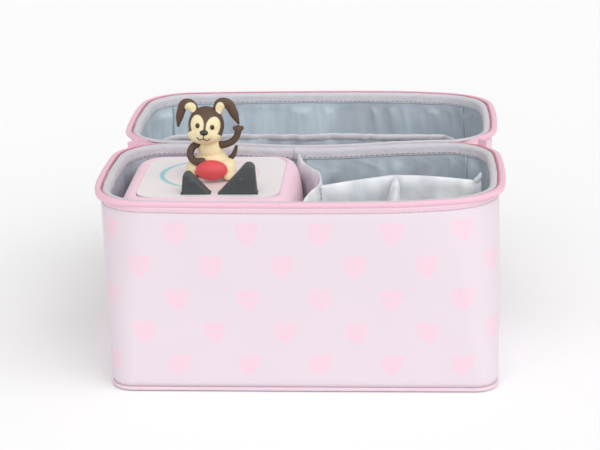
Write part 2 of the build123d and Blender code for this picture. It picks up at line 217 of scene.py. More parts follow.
def recalculate(obj):
    """Points every face of a closed mesh outward."""
    work = bmesh.new()
    work.from_mesh(obj.data)
    bmesh.ops.recalc_face_normals(work, faces=work.faces)
    work.to_mesh(obj.data)
    work.free()


def grid(name, rows, u, v, wrap_u=False, wrap_v=False, caps=False):
    """A surface through rows of points: rows[j][i] is the point at u[i], v[j]. u may differ from row to row.

    wrap_u joins the last column to the first, wrap_v the last row to the first, and caps closes both ends of
    a tube that wraps in v only."""
    count_v, count_u = len(rows), len(rows[0])
    vertices = [tuple(p) for row in rows for p in row]
    faces, uvs = [], []
    across = u if hasattr(u[0], "__len__") else [u] * count_v
    step_v = abs(v[1] - v[0])
    for j in range(count_v if wrap_v else count_v - 1):
        k = (j + 1) % count_v
        v_next = v[k] if k > j else v[j] + step_v
        for i in range(count_u if wrap_u else count_u - 1):
            m = (i + 1) % count_u
            here, there = across[j][i], across[k][i]
            step = across[j][1] - across[j][0]
            here_next, there_next = (across[j][m], across[k][m]) if m > i else (here + step, there + step)
            faces.append((j * count_u + i, j * count_u + m, k * count_u + m, k * count_u + i))
            uvs += [(here, v[j]), (here_next, v[j]), (there_next, v_next), (there, v_next)]
    if caps:
        for i in (0, count_u - 1):
            faces.append([j * count_u + i for j in range(count_v)])
            uvs += [(across[j][i], v[j]) for j in range(count_v)]
    obj = new_object(name, vertices, faces, uvs)
    recalculate(obj)
    return obj


def band(name, profile, plan=None, lid=False, shape=None):
    """A strip that follows the plan. profile lists (outward, height) points round its closed section.

    shape(x, y, s, out, z) may return a changed (out, z). With lid, the strip is mirrored to the open lid, and
    its cloth runs the other way up, so that the print stands upright when the lid is closed."""
    plan = plan or PLAN
    whole = abs(plan.s[-1] - plan.s[0] - plan.length) < 1e-6
    last = -1 if whole else None
    s, p = plan.s[:last], plan.p[:last]
    rows = []
    for out, z in profile:
        row = []
        for i in range(len(s)):
            o, h = (out, z) if shape is None else shape(p[i][0], p[i][1], s[i], out, z)
            x, y = plan.at(i, o, h)
            dip = rear_dip(x, y)
            h -= dip if h > DIP_TOP_Z else dip * smooth(LID_FLOOR_Z + 25, DIP_TOP_Z, h)
            row.append((x, 2 * HINGE_Y - y if lid else y, h))
        rows.append(row)
    u = [lengths_from_front(row) for row in rows]
    v = [-length if lid else length for length in running(profile)]
    return grid(name, rows, u, v, wrap_u=whole, wrap_v=True, caps=not whole)


def lengths_from_front(row):
    """How far each point of a row is along it, measured from the middle of the front."""
    points = np.array(row)
    along = np.concatenate([[0], np.cumsum(np.linalg.norm(np.diff(points[:, :2], axis=0), axis=1))])
    far = np.abs(points[:, 1] - HINGE_Y)
    middle = np.argmin(np.abs(points[:, 0]) + np.where(far > 0.9 * far.max(), 0, 1000))
    return list(along - along[middle])


def open_rim():
    """The stretch of the plan that carries the zip: all of it but the hinge side."""
    rear = [s for s, p in zip(FINE.s, FINE.p) if p[1] > REAR_Y - 12 and abs(abs(p[0]) - TRIM_END_X) < 0.6]
    return FINE.between(min(rear), max(rear))


def thicken(obj, thickness):
    """Gives an open sheet a real thickness, in millimetres."""
    solid = obj.modifiers.new("thickness", "SOLIDIFY")
    solid.thickness = thickness * MM
    solid.offset = 0.0
    solid.use_even_offset = True
    apply_modifiers(obj)


def subdivide(obj):
    """Rounds off a mesh by one level."""
    surface = obj.modifiers.new("surface", "SUBSURF")
    surface.levels = surface.render_levels = 1
    apply_modifiers(obj)


def apply_modifiers(obj):
    """Replaces the mesh with what its modifiers make."""
    depsgraph = bpy.context.evaluated_depsgraph_get()
    mesh = bpy.data.meshes.new_from_object(obj.evaluated_get(depsgraph), depsgraph=depsgraph)
    obj.modifiers.clear()
    obj.data = mesh


def shade_smooth(obj):
    obj.data.polygons.foreach_set("use_smooth", [True] * len(obj.data.polygons))


def joined(name, parts):
    """One object from several, keeping their materials."""
    bpy.ops.object.select_all(action="DESELECT")
    for part in parts:
        part.select_set(True)
    bpy.context.view_layer.objects.active = parts[0]
    bpy.ops.object.join()
    parts[0].name = name
    return parts[0]


def tube(name, path, radius, sides=10):
    """A round tube along millimetre points. radius is a number or one value for each point."""
    path = [Vector(p) for p in path]
    count = len(path)
    radii = radius if hasattr(radius, "__len__") else [radius] * count
    rows = [[] for _ in range(sides)]
    up = Vector((0.0, 0.0, 1.0))
    along, length = [], 0.0
    for i, p in enumerate(path):
        way = (path[min(i + 1, count - 1)] - path[max(i - 1, 0)]).normalized()
        side = way.cross(up if abs(way.dot(up)) < 0.95 else Vector((0, 1, 0))).normalized()
        if i:
            side = (last_side - way * last_side.dot(way)).normalized()
            length += (p - path[i - 1]).length
        last_side = side
        other = way.cross(side)
        along.append(length)
        for k in range(sides):
            a = 2 * math.pi * k / sides
            rows[k].append(p + radii[i] * (math.cos(a) * side + math.sin(a) * other))
    around = [2 * math.pi * max(radii) * k / sides for k in range(sides)]
    return grid(name, rows, along, around, wrap_v=True, caps=True)


def stitches(name, route, pitch, length, radius):
    """A row of thread stitches: short capsules laid end to end along a route of (point, outward) pairs."""
    travelled, nxt, vertices, faces = 0.0, pitch / 2, [], []
    for (a, na), (b, _) in zip(route, route[1:]):
        step = (Vector(b) - Vector(a)).length
        while step and travelled + step > nxt:
            t = (nxt - travelled) / step
            centre = Vector(a).lerp(Vector(b), t)
            way = (Vector(b) - Vector(a)).normalized()
            add_stitch(vertices, faces, centre, way, Vector(na), length, radius)
            nxt += pitch
        travelled += step
    return new_object(name, vertices, faces)


def add_stitch(vertices, faces, centre, way, out, length, radius):
    """One stitch: a flattened spindle whose ends dive into the cloth."""
    side = way.cross(out).normalized()
    stations = [(-0.5, 0.35, -1.2), (-0.36, 0.9, 0.0), (0.0, 1.0, 0.35), (0.36, 0.9, 0.0), (0.5, 0.35, -1.2)]
    start = len(vertices)
    for along, size, height in stations:
        for k in range(6):
            a = math.pi * k / 3
            across = side * math.cos(a) * radius * size
            offset = across + out * (math.sin(a) * radius * size * 0.8 + height * radius)
            vertices.append(tuple(centre + way * along * length + offset))
    for j in range(len(stations) - 1):
        for k in range(6):
            m = (k + 1) % 6
            low, high = start + j * 6, start + (j + 1) * 6
            faces.append((low + k, low + m, high + m, high + k))
    faces.append([start + k for k in range(6)])
    faces.append([start + (len(stations) - 1) * 6 + k for k in range(5, -1, -1)])


def settle(obj, pinned, frames=18, pressure=0.0, grow=0.0, cap=6.0, stiffness=8.0):
    """Runs a short cloth simulation on a mesh and keeps its result.

    pinned(x, y, z) says in millimetres which points are sewn down. grow is how much the cloth is cut
    larger than its place, so that it puckers. No point moves further than cap millimetres."""
    start = np.empty(len(obj.data.vertices) * 3)
    obj.data.vertices.foreach_get("co", start)
    start = start.reshape(-1, 3)
    group = obj.vertex_groups.new(name="sewn")
    for i, co in enumerate(start / MM):
        weight = float(pinned(*co))
        if weight:
            group.add([i], weight, "REPLACE")
    cloth = obj.modifiers.new("cloth", "CLOTH")
    settings = cloth.settings
    settings.quality = 5
    settings.mass = 0.1
    settings.tension_stiffness = settings.compression_stiffness = stiffness
    settings.shear_stiffness = stiffness / 2
    settings.bending_stiffness = 0.3
    settings.effector_weights.gravity = 0
    settings.shrink_min = settings.shrink_max = -grow
    settings.vertex_group_mass = "sewn"
    settings.use_pressure = pressure != 0
    settings.uniform_pressure_force = pressure
    cloth.collision_settings.use_collision = False
    cloth.point_cache.frame_end = frames + 2
    scene = bpy.context.scene
    for number in range(1, frames + 1):
        scene.frame_set(number)
    apply_modifiers(obj)
    scene.frame_set(1)
    moved = np.empty(len(obj.data.vertices) * 3)
    obj.data.vertices.foreach_get("co", moved)
    moved = moved.reshape(-1, 3) - start
    far = np.linalg.norm(moved, axis=1)
    scale = np.where(far > 0, cap * MM * np.tanh(far / (cap * MM)) / np.maximum(far, 1e-9), 1)
    obj.data.vertices.foreach_set("co", (start + moved * scale[:, None]).ravel())
    obj.vertex_groups.clear()
    return obj


def mirrored_to_lid(point):
    """The place on the folded-back lid that matches one on the case."""
    return (point[0], 2 * HINGE_Y - point[1], point[2])


# ================================================================ node helpers
class Nodes:
    """Short names for building a shader."""

    def __init__(self, name):
        self.material = bpy.data.materials.new(name)
        self.material.use_nodes = True
        self.tree = self.material.node_tree
        self.shader = self.tree.nodes["Principled BSDF"]

    def add(self, kind, **values):
        node = self.tree.nodes.new(kind)
        for key, value in values.items():
            setattr(node, key, value)
        return node

    def link(self, source, target):
        self.tree.links.new(source, target)

    def math(self, operation, *values):
        node = self.add("ShaderNodeMath", operation=operation)
        for socket, value in zip(node.inputs, values):
            self.put(socket, value)
        return node.outputs[0]

    def cloth(self):
        """The cloth coordinates, in millimetres along and across, as two outputs."""
        uv = self.add("ShaderNodeUVMap", uv_map="Cloth")
        split = self.add("ShaderNodeSeparateXYZ")
        self.link(uv.outputs[0], split.inputs[0])
        return self.math("DIVIDE", split.outputs[0], MM), self.math("DIVIDE", split.outputs[1], MM)

    def place(self):
        """The object's own coordinates, in metres."""
        return self.add("ShaderNodeTexCoord").outputs["Object"]

    def noise(self, scale, detail=3.0, vector=None, roughness=0.5):
        node = self.add("ShaderNodeTexNoise")
        node.inputs["Scale"].default_value = scale
        node.inputs["Detail"].default_value = detail
        node.inputs["Roughness"].default_value = roughness
        self.link(vector or self.place(), node.inputs["Vector"])
        return node.outputs["Fac"]

    def mix(self, factor, a, b):
        node = self.add("ShaderNodeMix", data_type="RGBA")
        self.put(node.inputs[0], factor)
        self.put(node.inputs[6], a)
        self.put(node.inputs[7], b)
        return node.outputs[2]

    def put(self, socket, value):
        if isinstance(value, (int, float)):
            socket.default_value = value
        elif isinstance(value, tuple):
            socket.default_value = (*value, 1.0) if len(value) == 3 else value
        else:
            self.link(value, socket)

    def range(self, value, low, high, to_low=0.0, to_high=1.0):
        node = self.add("ShaderNodeMapRange")
        node.inputs["From Min"].default_value = low
        node.inputs["From Max"].default_value = high
        node.inputs["To Min"].default_value = to_low
        node.inputs["To Max"].default_value = to_high
        self.link(value, node.inputs["Value"])
        return node.outputs[0]

    def bump(self, height, strength, distance, normal=None):
        node = self.add("ShaderNodeBump")
        node.inputs["Strength"].default_value = strength
        node.inputs["Distance"].default_value = distance
        self.link(height, node.inputs["Height"])
        if normal is not None:
            self.link(normal, node.inputs["Normal"])
        return node.outputs[0]

    def finish(self, colour, roughness, normal=None, sheen=0.0, specular=0.5, coat=0.0, metallic=0.0):
        self.put(self.shader.inputs["Base Color"], colour)
        self.put(self.shader.inputs["Roughness"], roughness)
        self.shader.inputs["Specular IOR Level"].default_value = specular
        self.shader.inputs["Metallic"].default_value = metallic
        self.shader.inputs["Sheen Weight"].default_value = sheen
        self.shader.inputs["Sheen Roughness"].default_value = 0.45
        self.shader.inputs["Coat Weight"].default_value = coat
        if normal is not None:
            self.link(normal, self.shader.inputs["Normal"])
        return self.material


def srgb(red, green, blue):
    """A colour given in 0 to 255 steps, as linear light."""
    steps = [c / 255 for c in (red, green, blue)]
    return tuple(c / 12.92 if c <= 0.04045 else ((c + 0.055) / 1.055) ** 2.4 for c in steps)


def shade(colour, factor):
    return tuple(min(1, c * factor) for c in colour)


# ================================================================ materials
def weave(nodes, pitch):
    """Height of a plain weave: warp and weft threads that pass over each other, 0 to 1."""
    u, v = nodes.cloth()
    turn = 2 * math.pi / pitch
    warp = nodes.math("SINE", nodes.math("MULTIPLY", u, turn))
    weft = nodes.math("SINE", nodes.math("MULTIPLY", v, turn))
    half = turn / 2
    over = nodes.math("SINE", nodes.math("MULTIPLY", u, half))
    under = nodes.math("SINE", nodes.math("MULTIPLY", v, half))
    crossing = nodes.math("MULTIPLY", over, under)
    threads = nodes.math("ADD", nodes.math("MULTIPLY", warp, 0.25), nodes.math("MULTIPLY", weft, 0.25))
    return nodes.math("ADD", nodes.math("MULTIPLY", crossing, 0.3), nodes.math("ADD", threads, 0.5))


def woven(name, colour, pitch=0.9, depth=0.12, rough=0.75, sheen=0.25, mottle=0.04, rumple=0.0):
    """A plain woven fabric with slight unevenness in its colour and surface, and painted shade between its
    threads and in its creases. rumple is its creases' depth.
    """
    nodes = Nodes(name)
    threads = weave(nodes, pitch)
    patches = nodes.noise(28.0, 4.0)
    slubs = nodes.noise(420.0, 2.0)
    tint = nodes.mix(patches, shade(colour, 1 - mottle), shade(colour, 1 + mottle))
    # painted shade: the colour darkens where the weave is low, between the threads
    tint = nodes.mix(nodes.range(threads, 0.0, 1.0, 0.22, 0.0), tint, shade(colour, 0.72))
    height = nodes.math("ADD", threads, nodes.math("MULTIPLY", slubs, 0.35))
    normal = nodes.bump(height, 0.55, depth * MM)
    if rumple:
        creases = nodes.noise(150.0, 3.0)
        normal = nodes.bump(creases, 0.8, rumple * MM, normal)
        # painted shade: the colour darkens in the hollows of the creases
        tint = nodes.mix(nodes.range(creases, 0.35, 0.6, 0.16, 0.0), tint, shade(colour, 0.7))
    roughness = nodes.range(slubs, 0.3, 0.7, rough - 0.06, rough + 0.06)
    return nodes.finish(tint, roughness, normal, sheen=sheen, specular=0.35)


def satin(name, colour):
    """Thin lining cloth: a smooth weave with a painted sheen, lighter colour along soft upright folds, and
    painted shade between its threads.
    """
    nodes = Nodes(name)
    stretch = nodes.add("ShaderNodeMapping")
    nodes.link(nodes.add("ShaderNodeUVMap", uv_map="Cloth").outputs[0], stretch.inputs["Vector"])
    stretch.inputs["Scale"].default_value = (1.0, 0.28, 1.0)
    folds = nodes.noise(34.0, 2.0, stretch.outputs[0])
    broad = nodes.noise(13.0, 2.0, stretch.outputs[0])
    pleats = nodes.math("MULTIPLY", nodes.noise(95.0, 1.0, stretch.outputs[0]), 0.45)
    # painted highlight: the colour is made lighter along the folds, standing in for the satin's sheen
    gloss = nodes.range(nodes.math("ADD", nodes.math("ADD", folds, broad), pleats), 1.02, 1.45)
    tint = nodes.mix(gloss, shade(colour, 0.84), shade(colour, 1.26))
    threads = weave(nodes, 0.6)
    # painted shade: the colour darkens where the weave is low, between the threads
    tint = nodes.mix(nodes.range(threads, 0.0, 1.0, 0.14, 0.0), tint, shade(colour, 0.7))
    fine = nodes.bump(threads, 0.4, 0.05 * MM)
    soft = nodes.bump(nodes.math("ADD", folds, broad), 0.7, 3.6 * MM, fine)
    return nodes.finish(tint, nodes.range(folds, 0.3, 0.7, 0.46, 0.36), soft, sheen=0.15, specular=0.5)


PRINT_PITCH = 47.2  # between hearts in a row
PRINT_ROW = 23.24  # between rows, which are staggered by half a pitch
PRINT_HALF = 7.5  # half the heart's width
PRINT_SHIFT = (-9.1, -4.9)


def heart_mask(nodes, u, v):
    """1 inside a small heart repeated on a staggered grid, with a soft printed edge."""
    u = nodes.math("ADD", u, PRINT_SHIFT[0])
    v = nodes.math("ADD", v, PRINT_SHIFT[1])
    row = nodes.math("FLOOR", nodes.math("DIVIDE", v, PRINT_ROW))
    odd = nodes.math("MODULO", nodes.math("ADD", row, 100.0), 2.0)
    shifted = nodes.math("ADD", u, nodes.math("MULTIPLY", odd, PRINT_PITCH / 2))
    across = nodes.math("SUBTRACT", nodes.math("WRAP", shifted, PRINT_PITCH, 0.0), PRINT_PITCH / 2)
    up = nodes.math("SUBTRACT", nodes.math("WRAP", v, PRINT_ROW, 0.0), PRINT_ROW / 2)
    x = nodes.math("DIVIDE", across, PRINT_HALF * 0.88)
    y = nodes.math("ADD", nodes.math("DIVIDE", up, PRINT_HALF * 0.98), 0.1)
    xx = nodes.math("MULTIPLY", x, x)
    circle = nodes.math("SUBTRACT", nodes.math("ADD", xx, nodes.math("MULTIPLY", y, y)), 1.0)
    cubed = nodes.math("POWER", nodes.math("ABSOLUTE", circle), 3.0)
    signed = nodes.math("MULTIPLY", cubed, nodes.math("SIGN", circle))
    lobes = nodes.math("MULTIPLY", xx, nodes.math("MULTIPLY", y, nodes.math("MULTIPLY", y, y)))
    return nodes.range(nodes.math("SUBTRACT", signed, lobes), 0.04, -0.05)


def printed(name, colour, motif):
    """The case's outer fabric: satin-smooth weave with a pale printed heart pattern, and painted shade
    between its threads.
    """
    nodes = Nodes(name)
    u, v = nodes.cloth()
    threads = weave(nodes, 0.7)
    ink = nodes.noise(900.0, 2.0)
    worn = nodes.math("MULTIPLY", heart_mask(nodes, u, v), nodes.range(ink, 0.2, 0.7, 0.78, 1.0))
    patches = nodes.noise(16.0, 4.0)
    base = nodes.mix(patches, shade(colour, 0.975), shade(colour, 1.02))
    tint = nodes.mix(worn, base, motif)
    # painted shade: the colour darkens where the weave is low, between the threads
    tint = nodes.mix(nodes.range(threads, 0.0, 1.0, 0.1, 0.0), tint, shade(colour, 0.8))
    slubs = nodes.noise(500.0, 2.0)
    height = nodes.math("ADD", threads, nodes.math("MULTIPLY", slubs, 0.3))
    normal = nodes.bump(height, 0.4, 0.08 * MM)
    return nodes.finish(tint, nodes.range(slubs, 0.3, 0.7, 0.5, 0.6), normal, sheen=0.2, specular=0.4)


def thread(name, colour):
    """Twisted sewing thread, with painted shade in the grooves of its twist and a painted highlight on its
    ridges.
    """
    nodes = Nodes(name)
    twist = nodes.noise(2600.0, 1.0)
    # painted shade and highlight: darker where the twist is low, lighter where it is high
    tint = nodes.mix(twist, shade(colour, 0.8), shade(colour, 1.1))
    return nodes.finish(tint, 0.6, nodes.bump(twist, 0.4, 0.1 * MM), sheen=0.3)


def plastic(name, colour, rough=0.4, grain=0.02, coat=0.0, specular=0.5, mottle=0.015):
    """Moulded plastic or rubber with a fine even grain and faint handling marks."""
    nodes = Nodes(name)
    fine = nodes.noise(700.0, 3.0)
    marks = nodes.noise(45.0, 5.0, roughness=0.65)
    tint = nodes.mix(marks, shade(colour, 1 - mottle), shade(colour, 1 + mottle))
    roughness = nodes.range(marks, 0.3, 0.7, rough - 0.05, rough + 0.07)
    return nodes.finish(tint, roughness, nodes.bump(fine, 0.35, grain * MM), coat=coat, specular=specular)


def metal(name, colour, rough=0.3):
    """Plated or brushed metal with fine scratches."""
    nodes = Nodes(name)
    scratches = nodes.noise(300.0, 4.0, roughness=0.7)
    tint = nodes.mix(scratches, shade(colour, 0.9), shade(colour, 1.05))
    roughness = nodes.range(scratches, 0.3, 0.7, rough - 0.07, rough + 0.1)
    return nodes.finish(tint, roughness, nodes.bump(scratches, 0.2, 0.02 * MM), metallic=1.0)


def ring_print():
    """The ring round the seat: pale blue on the left, yellow in front, pink on the right."""
    nodes = Nodes("seat_ring_print")
    split = nodes.add("ShaderNodeSeparateXYZ")
    nodes.link(nodes.place(), split.inputs[0])
    low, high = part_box("player_seat_ring")
    middle = [(a + b) / 2 for a, b in zip(low, high)]
    x = nodes.math("SUBTRACT", split.outputs[0], middle[0])
    y = nodes.math("SUBTRACT", split.outputs[1], middle[1])
    angle = nodes.math("ARCTAN2", y, x)
    turn = nodes.range(angle, -math.pi, math.pi)
    ramp = nodes.add("ShaderNodeValToRGB")
    nodes.link(turn, ramp.inputs[0])
    stops = [
        (0.0, (150, 205, 220)), (0.14, (160, 212, 215)), (0.25, (246, 236, 190)), (0.34, (250, 226, 200)),
        (0.5, (246, 205, 222)), (0.75, (238, 208, 228)), (0.88, (168, 212, 226)), (1.0, (150, 205, 220)),
    ]
    points = ramp.color_ramp.elements
    while len(points) < len(stops):
        points.new(0.5)
    for point, (at, colour) in zip(points, stops):
        point.position = at
        point.color = (*srgb(*colour), 1)
    fine = nodes.noise(900.0)
    return nodes.finish(ramp.outputs[0], 0.38, nodes.bump(fine, 0.3, 0.01 * MM), specular=0.5)


def painted_toy(name):
    """Matt hand-painted vinyl whose colour is stored on the mesh."""
    nodes = Nodes(name)
    stored = nodes.add("ShaderNodeVertexColor", layer_name="Paint").outputs[0]
    brush = nodes.noise(260.0, 4.0, roughness=0.7)
    tint = nodes.mix(nodes.range(brush, 0.3, 0.75, 0.0, 0.16), stored, (0.12, 0.07, 0.04))
    return nodes.finish(tint, nodes.range(brush, 0.3, 0.7, 0.5, 0.66), nodes.bump(brush, 0.35, 0.12 * MM))


OUTER = srgb(223, 210, 219)
PINK = srgb(238, 203, 218)
PINK_DEEP = srgb(243, 196, 214)
COIL = srgb(210, 130, 153)
GREY_LINING = srgb(181, 191, 199)
GREY_BINDING = srgb(213, 210, 216)
PANEL = srgb(230, 234, 240)
COVER_PINK = srgb(247, 207, 224)
MOTIF = srgb(234, 202, 215)


def make_materials():
    return {
        "printed": printed("printed_fabric", OUTER, MOTIF),
        "pink": woven("pink_fabric", PINK, pitch=0.9),
        "piping": woven("piping_fabric", srgb(229, 206, 217), pitch=0.9),
        "tape": woven("zip_tape_weave", srgb(240, 194, 211), pitch=0.8, depth=0.2, mottle=0.02),
        "facing": woven("rim_facing", srgb(234, 205, 218), pitch=0.8, depth=0.1, mottle=0.02),
        "coil": plastic("zip_coil_nylon", COIL, rough=0.35, specular=0.5),
        "lining": satin("lining_fabric", GREY_LINING),
        "binding": woven("rim_binding_tape", GREY_BINDING, depth=0.25, rough=0.7, sheen=0.3, rumple=1.1),
        "panel": satin("organiser_fabric", PANEL),
        "webbing": woven("handle_webbing", PINK_DEEP, pitch=1.6, depth=0.5, rough=0.7),
        "cover": woven("player_cover_fabric", COVER_PINK, pitch=0.7, depth=0.08, rough=0.8, sheen=0.4),
        "thread_grey": thread("grey_thread", srgb(150, 150, 160)),
        "thread_pink": thread("pink_thread", srgb(232, 176, 198)),
        "plate": plastic("player_plate_plastic", srgb(238, 231, 233), rough=0.42, grain=0.015),
        "ring": ring_print(),
        "ear": plastic("ear_rubber", srgb(68, 74, 76), rough=0.5, grain=0.03, mottle=0.05),
        "slider": plastic("slider_enamel", PINK_DEEP, rough=0.3, coat=0.3, grain=0.01),
        "pull": plastic("pull_rubber", srgb(240, 190, 208), rough=0.5, grain=0.05),
        "toy": painted_toy("toy_paint"),
        "nose": plastic("toy_nose_gloss", srgb(34, 26, 26), rough=0.18, coat=0.6, grain=0.0),
        "ball": plastic("toy_ball_paint", srgb(222, 78, 84), rough=0.5, grain=0.08, mottle=0.06),
        "housing": plastic("housing_plastic", srgb(235, 232, 232), rough=0.45),
        "foot": plastic("foot_rubber", srgb(120, 120, 124), rough=0.7, grain=0.05),
        "dark": plastic("dark_plastic", srgb(45, 45, 48), rough=0.5),
        "steel": metal("steel", (0.56, 0.56, 0.58)),
        "brass": metal("contact_plating", (0.8, 0.6, 0.28), rough=0.2),
        "copper": metal("coil_copper", (0.8, 0.42, 0.24), rough=0.35),
        "board": plastic("circuit_board", srgb(38, 92, 58), rough=0.3, coat=0.4),
        "cell": plastic("cell_wrap", srgb(86, 118, 160), rough=0.3, coat=0.3),
        "stiffener": plastic("stiffener_board", srgb(206, 204, 200), rough=0.8, grain=0.1),
    }


def finish_piece(obj, material, body, nodes=()):
    """Gives a piece its material, its body and the CAD nodes that it stands for."""
    if not obj.data.materials:
        obj.data.materials.append(material)
    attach(obj, body)
    if nodes:
        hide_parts(*nodes)
    return obj


# ================================================================ case and lid shells
def soft_wall(low):
    """How the padded outer wall swells between its piping and its rim, with faint dents."""
    top = WALL_TOP_Z

    def shape(x, y, s, out, z):
        height = (z - low) / (top - low)
        swell = max(0.0, math.sin(math.pi * min(1, max(0, height)))) ** 0.55
        dents = 0.55 * wobble(s, 0, z, 46, 3.1) + 0.25 * wobble(s, 0, z, 19, 7.7)
        tucks = 0.28 * wobble(s, 0, 0, 6.5, 1.3) * (math.exp(-(top - z) / 7) + math.exp(-(z - low) / 6))
        if out < -2:
            return out, z
        return out + 1.0 * swell + (dents + tucks) * min(1, 6 * height * (1 - height)), z

    return shape


def wall_profile(low, high, outer, inner, rows):
    """A closed section: up the outside, over, and down the inside."""
    heights = list(np.linspace(low, high, rows))
    soft = [(outer - 0.8 * (z == low or z == high), z) for z in heights]
    return soft + [(inner, z) for z in reversed(heights[:: max(1, rows // 6)])]


def lining_shape(low):
    """Loose lining: its inner face puckers below the binding, and the puckers fade out downward."""
    top = RIM_Z - 12

    def shape(x, y, s, out, z):
        if out >= -4.5:
            return out, z
        depth = max(0.0, top - z)
        fade = math.exp(-depth / 34) * smooth(0, 5, depth)
        gather = 3.4 * wobble(s, 0, depth * 0.1, 10.0, 5.3) + 2.0 * wobble(s, 0, depth * 0.08, 5.0, 2.2)
        slow = 2.0 * wobble(s, 0, z, 34, 9.1) * smooth(low, low + 25, z) * smooth(0, 14, depth)
        pleat = 1.8 * max(0.0, wobble(s, 0, depth * 0.05, 3.6, 7.9)) * math.exp(-depth / 13)
        pleat *= smooth(0, 3, depth)
        return out - 0.6 - max(-0.5, gather * fade + slow + pleat), z

    return shape


def build_shell(prefix, low, lid, body, materials):
    """The walls of the case or the lid: outer fabric over foam, and the loose lining inside."""
    foot = low + 3.0
    profile = wall_profile(foot, WALL_TOP_Z, 0.0, -3.7, 34)
    outer = band(prefix + "_outer_wall", profile, lid=lid, shape=soft_wall(foot))
    finish_piece(outer, materials["printed"], body,
                 (prefix + "_wall_fabric", prefix + "_wall_foam"))
    floor = LID_LINING_Z if lid else CASE_LINING_Z
    heights = list(np.linspace(floor, RIM_Z - 3.2, 34))
    profile = [(-4.75, z) for z in heights] + [(-4.15, z) for z in reversed(heights[::6])]
    lining = band(prefix + "_lining", profile, lid=lid, shape=lining_shape(floor))
    finish_piece(lining, materials["lining"], body, (prefix + "_wall_lining",))


def from_end(s, rim):
    """How far a place on the rim is from the nearer end of the zip."""
    return min(s - rim.s[0], rim.s[-1] - s)


def rim_route(plan, out, z, facing, lid):
    """A stitch route along the rim, out from the plan by a little. facing is 1 outward and -1 inward."""
    route = []
    for p, n in zip(plan.p, plan.n):
        point = (*(p + n * out), z - rear_dip(*p))
        across = (facing * n[0], -facing * n[1] if lid else facing * n[1], 0.0)
        route.append((mirrored_to_lid(point) if lid else point, across))
    return route


def build_rim(prefix, lid, body, materials):
    """Facing strip, flared zip tape, coil teeth and stitched binding round one rim."""
    rim = open_rim()

    def flare(x, y, s, out, z):
        side = smooth(100, 131, abs(x))
        left = smooth(100, 126, -x) * (1 - smooth(-50, -20, y))
        lip = smooth(0.6, 2.4, out)
        fade = smooth(18, 48, from_end(s, rim))
        grow = (1.2 * side - 0.4 * left - 1.0 * (1 - side) + 0.3 * wobble(s, 0, 0, 26, 4.4)) * lip
        drop = (0.6 * side + 1.0 * left) * lip * (1 - smooth(RIM_Z - 3.5, RIM_Z - 0.8, z))
        return 0.3 + (out + grow - 0.3) * (0.12 + 0.88 * fade), z - drop - tuck(s, rim, lid)

    facing = [(-0.2, 126.8), (0.25, 127.3), (0.6, 128.2), (0.8, 129.3), (0.8, 130.4), (0.6, 131.2),
              (-0.2, 131.2), (-0.6, 129.0)]
    welt = band(prefix + "_rim_facing", facing, lid=lid, plan=rim)
    finish_piece(welt, materials["facing"], body, (prefix + "_rim_welt",))
    tape = [(0.9, 130.9), (1.9, 131.0), (2.8, 131.8), (3.3, 132.9), (3.2, 133.9), (2.5, 134.5), (1.3, 134.7),
            (0.3, 134.5), (0.3, 134.0), (1.4, 134.1), (2.2, 133.8), (2.5, 133.2), (2.2, 132.4), (1.5, 131.7)]
    flared = band(prefix + "_zip_tape_flared", tape, lid=lid, plan=rim, shape=flare)
    finish_piece(flared, materials["tape"], body, (prefix + "_zip_tape",))
    coil = build_coil(prefix, rim, lid)
    finish_piece(coil, materials["coil"], body, (prefix + "_zip_coil",))

    def soft_edge(x, y, s, out, z):
        wave = 0.45 * wobble(s, 0, 0, 22, 8.8) if z < RIM_Z - 6 else 0
        return out + 0.35 * wobble(s, 0, z, 13, 6.2), z + wave

    binding = [(-0.75, 132.2), (-0.7, 133.4), (-1.4, 134.0), (-2.8, 134.2), (-4.4, 133.8), (-5.4, 133.0),
               (-5.8, 131.8), (-5.8, 130.0), (-5.9, 128.4), (-6.0, 126.9), (-5.6, 126.3), (-5.1, 126.8),
               (-5.1, 129.4), (-5.0, 131.6), (-4.3, 132.4), (-1.4, 132.4)]
    edge = band(prefix + "_binding", binding, lid=lid, plan=PLAN, shape=soft_edge)
    finish_piece(edge, materials["binding"], body, (prefix + "_rim_binding",))
    route = rim_route(FINE, -6.05, 128.0, -1, lid)
    seam = stitches(prefix + "_binding_stitches", route, pitch=3.7, length=2.5, radius=0.28)
    finish_piece(seam, materials["thread_grey"], body)
    route = rim_route(rim, 0.72, 128.9, 1, lid)
    seam = stitches(prefix + "_facing_stitches", route, pitch=3.2, length=2.5, radius=0.2)
    finish_piece(seam, materials["thread_pink"], body)


def tuck(s, rim, lid):
    """How far the zip has dived under the hinge strip, near either of its ends."""
    return (2.4 if lid else 0.5) * (1 - smooth(7, 23, from_end(s, rim)))


def build_coil(prefix, rim, lid):
    """The zip's nylon teeth: short rounded loops, 2 mm apart, on a continuous cord."""
    pitch = 2.0
    cord = []
    vertices, faces = [], []
    nxt = rim.s[0]
    for s, p, n in zip(rim.s, rim.p, rim.n):
        dip = rear_dip(*p) + tuck(s, rim, lid)
        spine = (*(p - n * 0.2), 133.95 - dip)
        cord.append(mirrored_to_lid(spine) if lid else spine)
        if s >= nxt:
            centre = (*(p - n * 0.1), 134.1 - dip)
            centre = mirrored_to_lid(centre) if lid else centre
            across = Vector((n[0], -n[1] if lid else n[1], 0.0))
            add_stitch(vertices, faces, Vector(centre), across, Vector((0, 0, 1)), 1.3, 0.36)
            nxt += pitch
    teeth = new_object(prefix + "_coil_teeth", vertices, faces)
    return joined(prefix + "_coil", [tube(prefix + "_coil_cord", cord[::3], 0.38, sides=8), teeth])


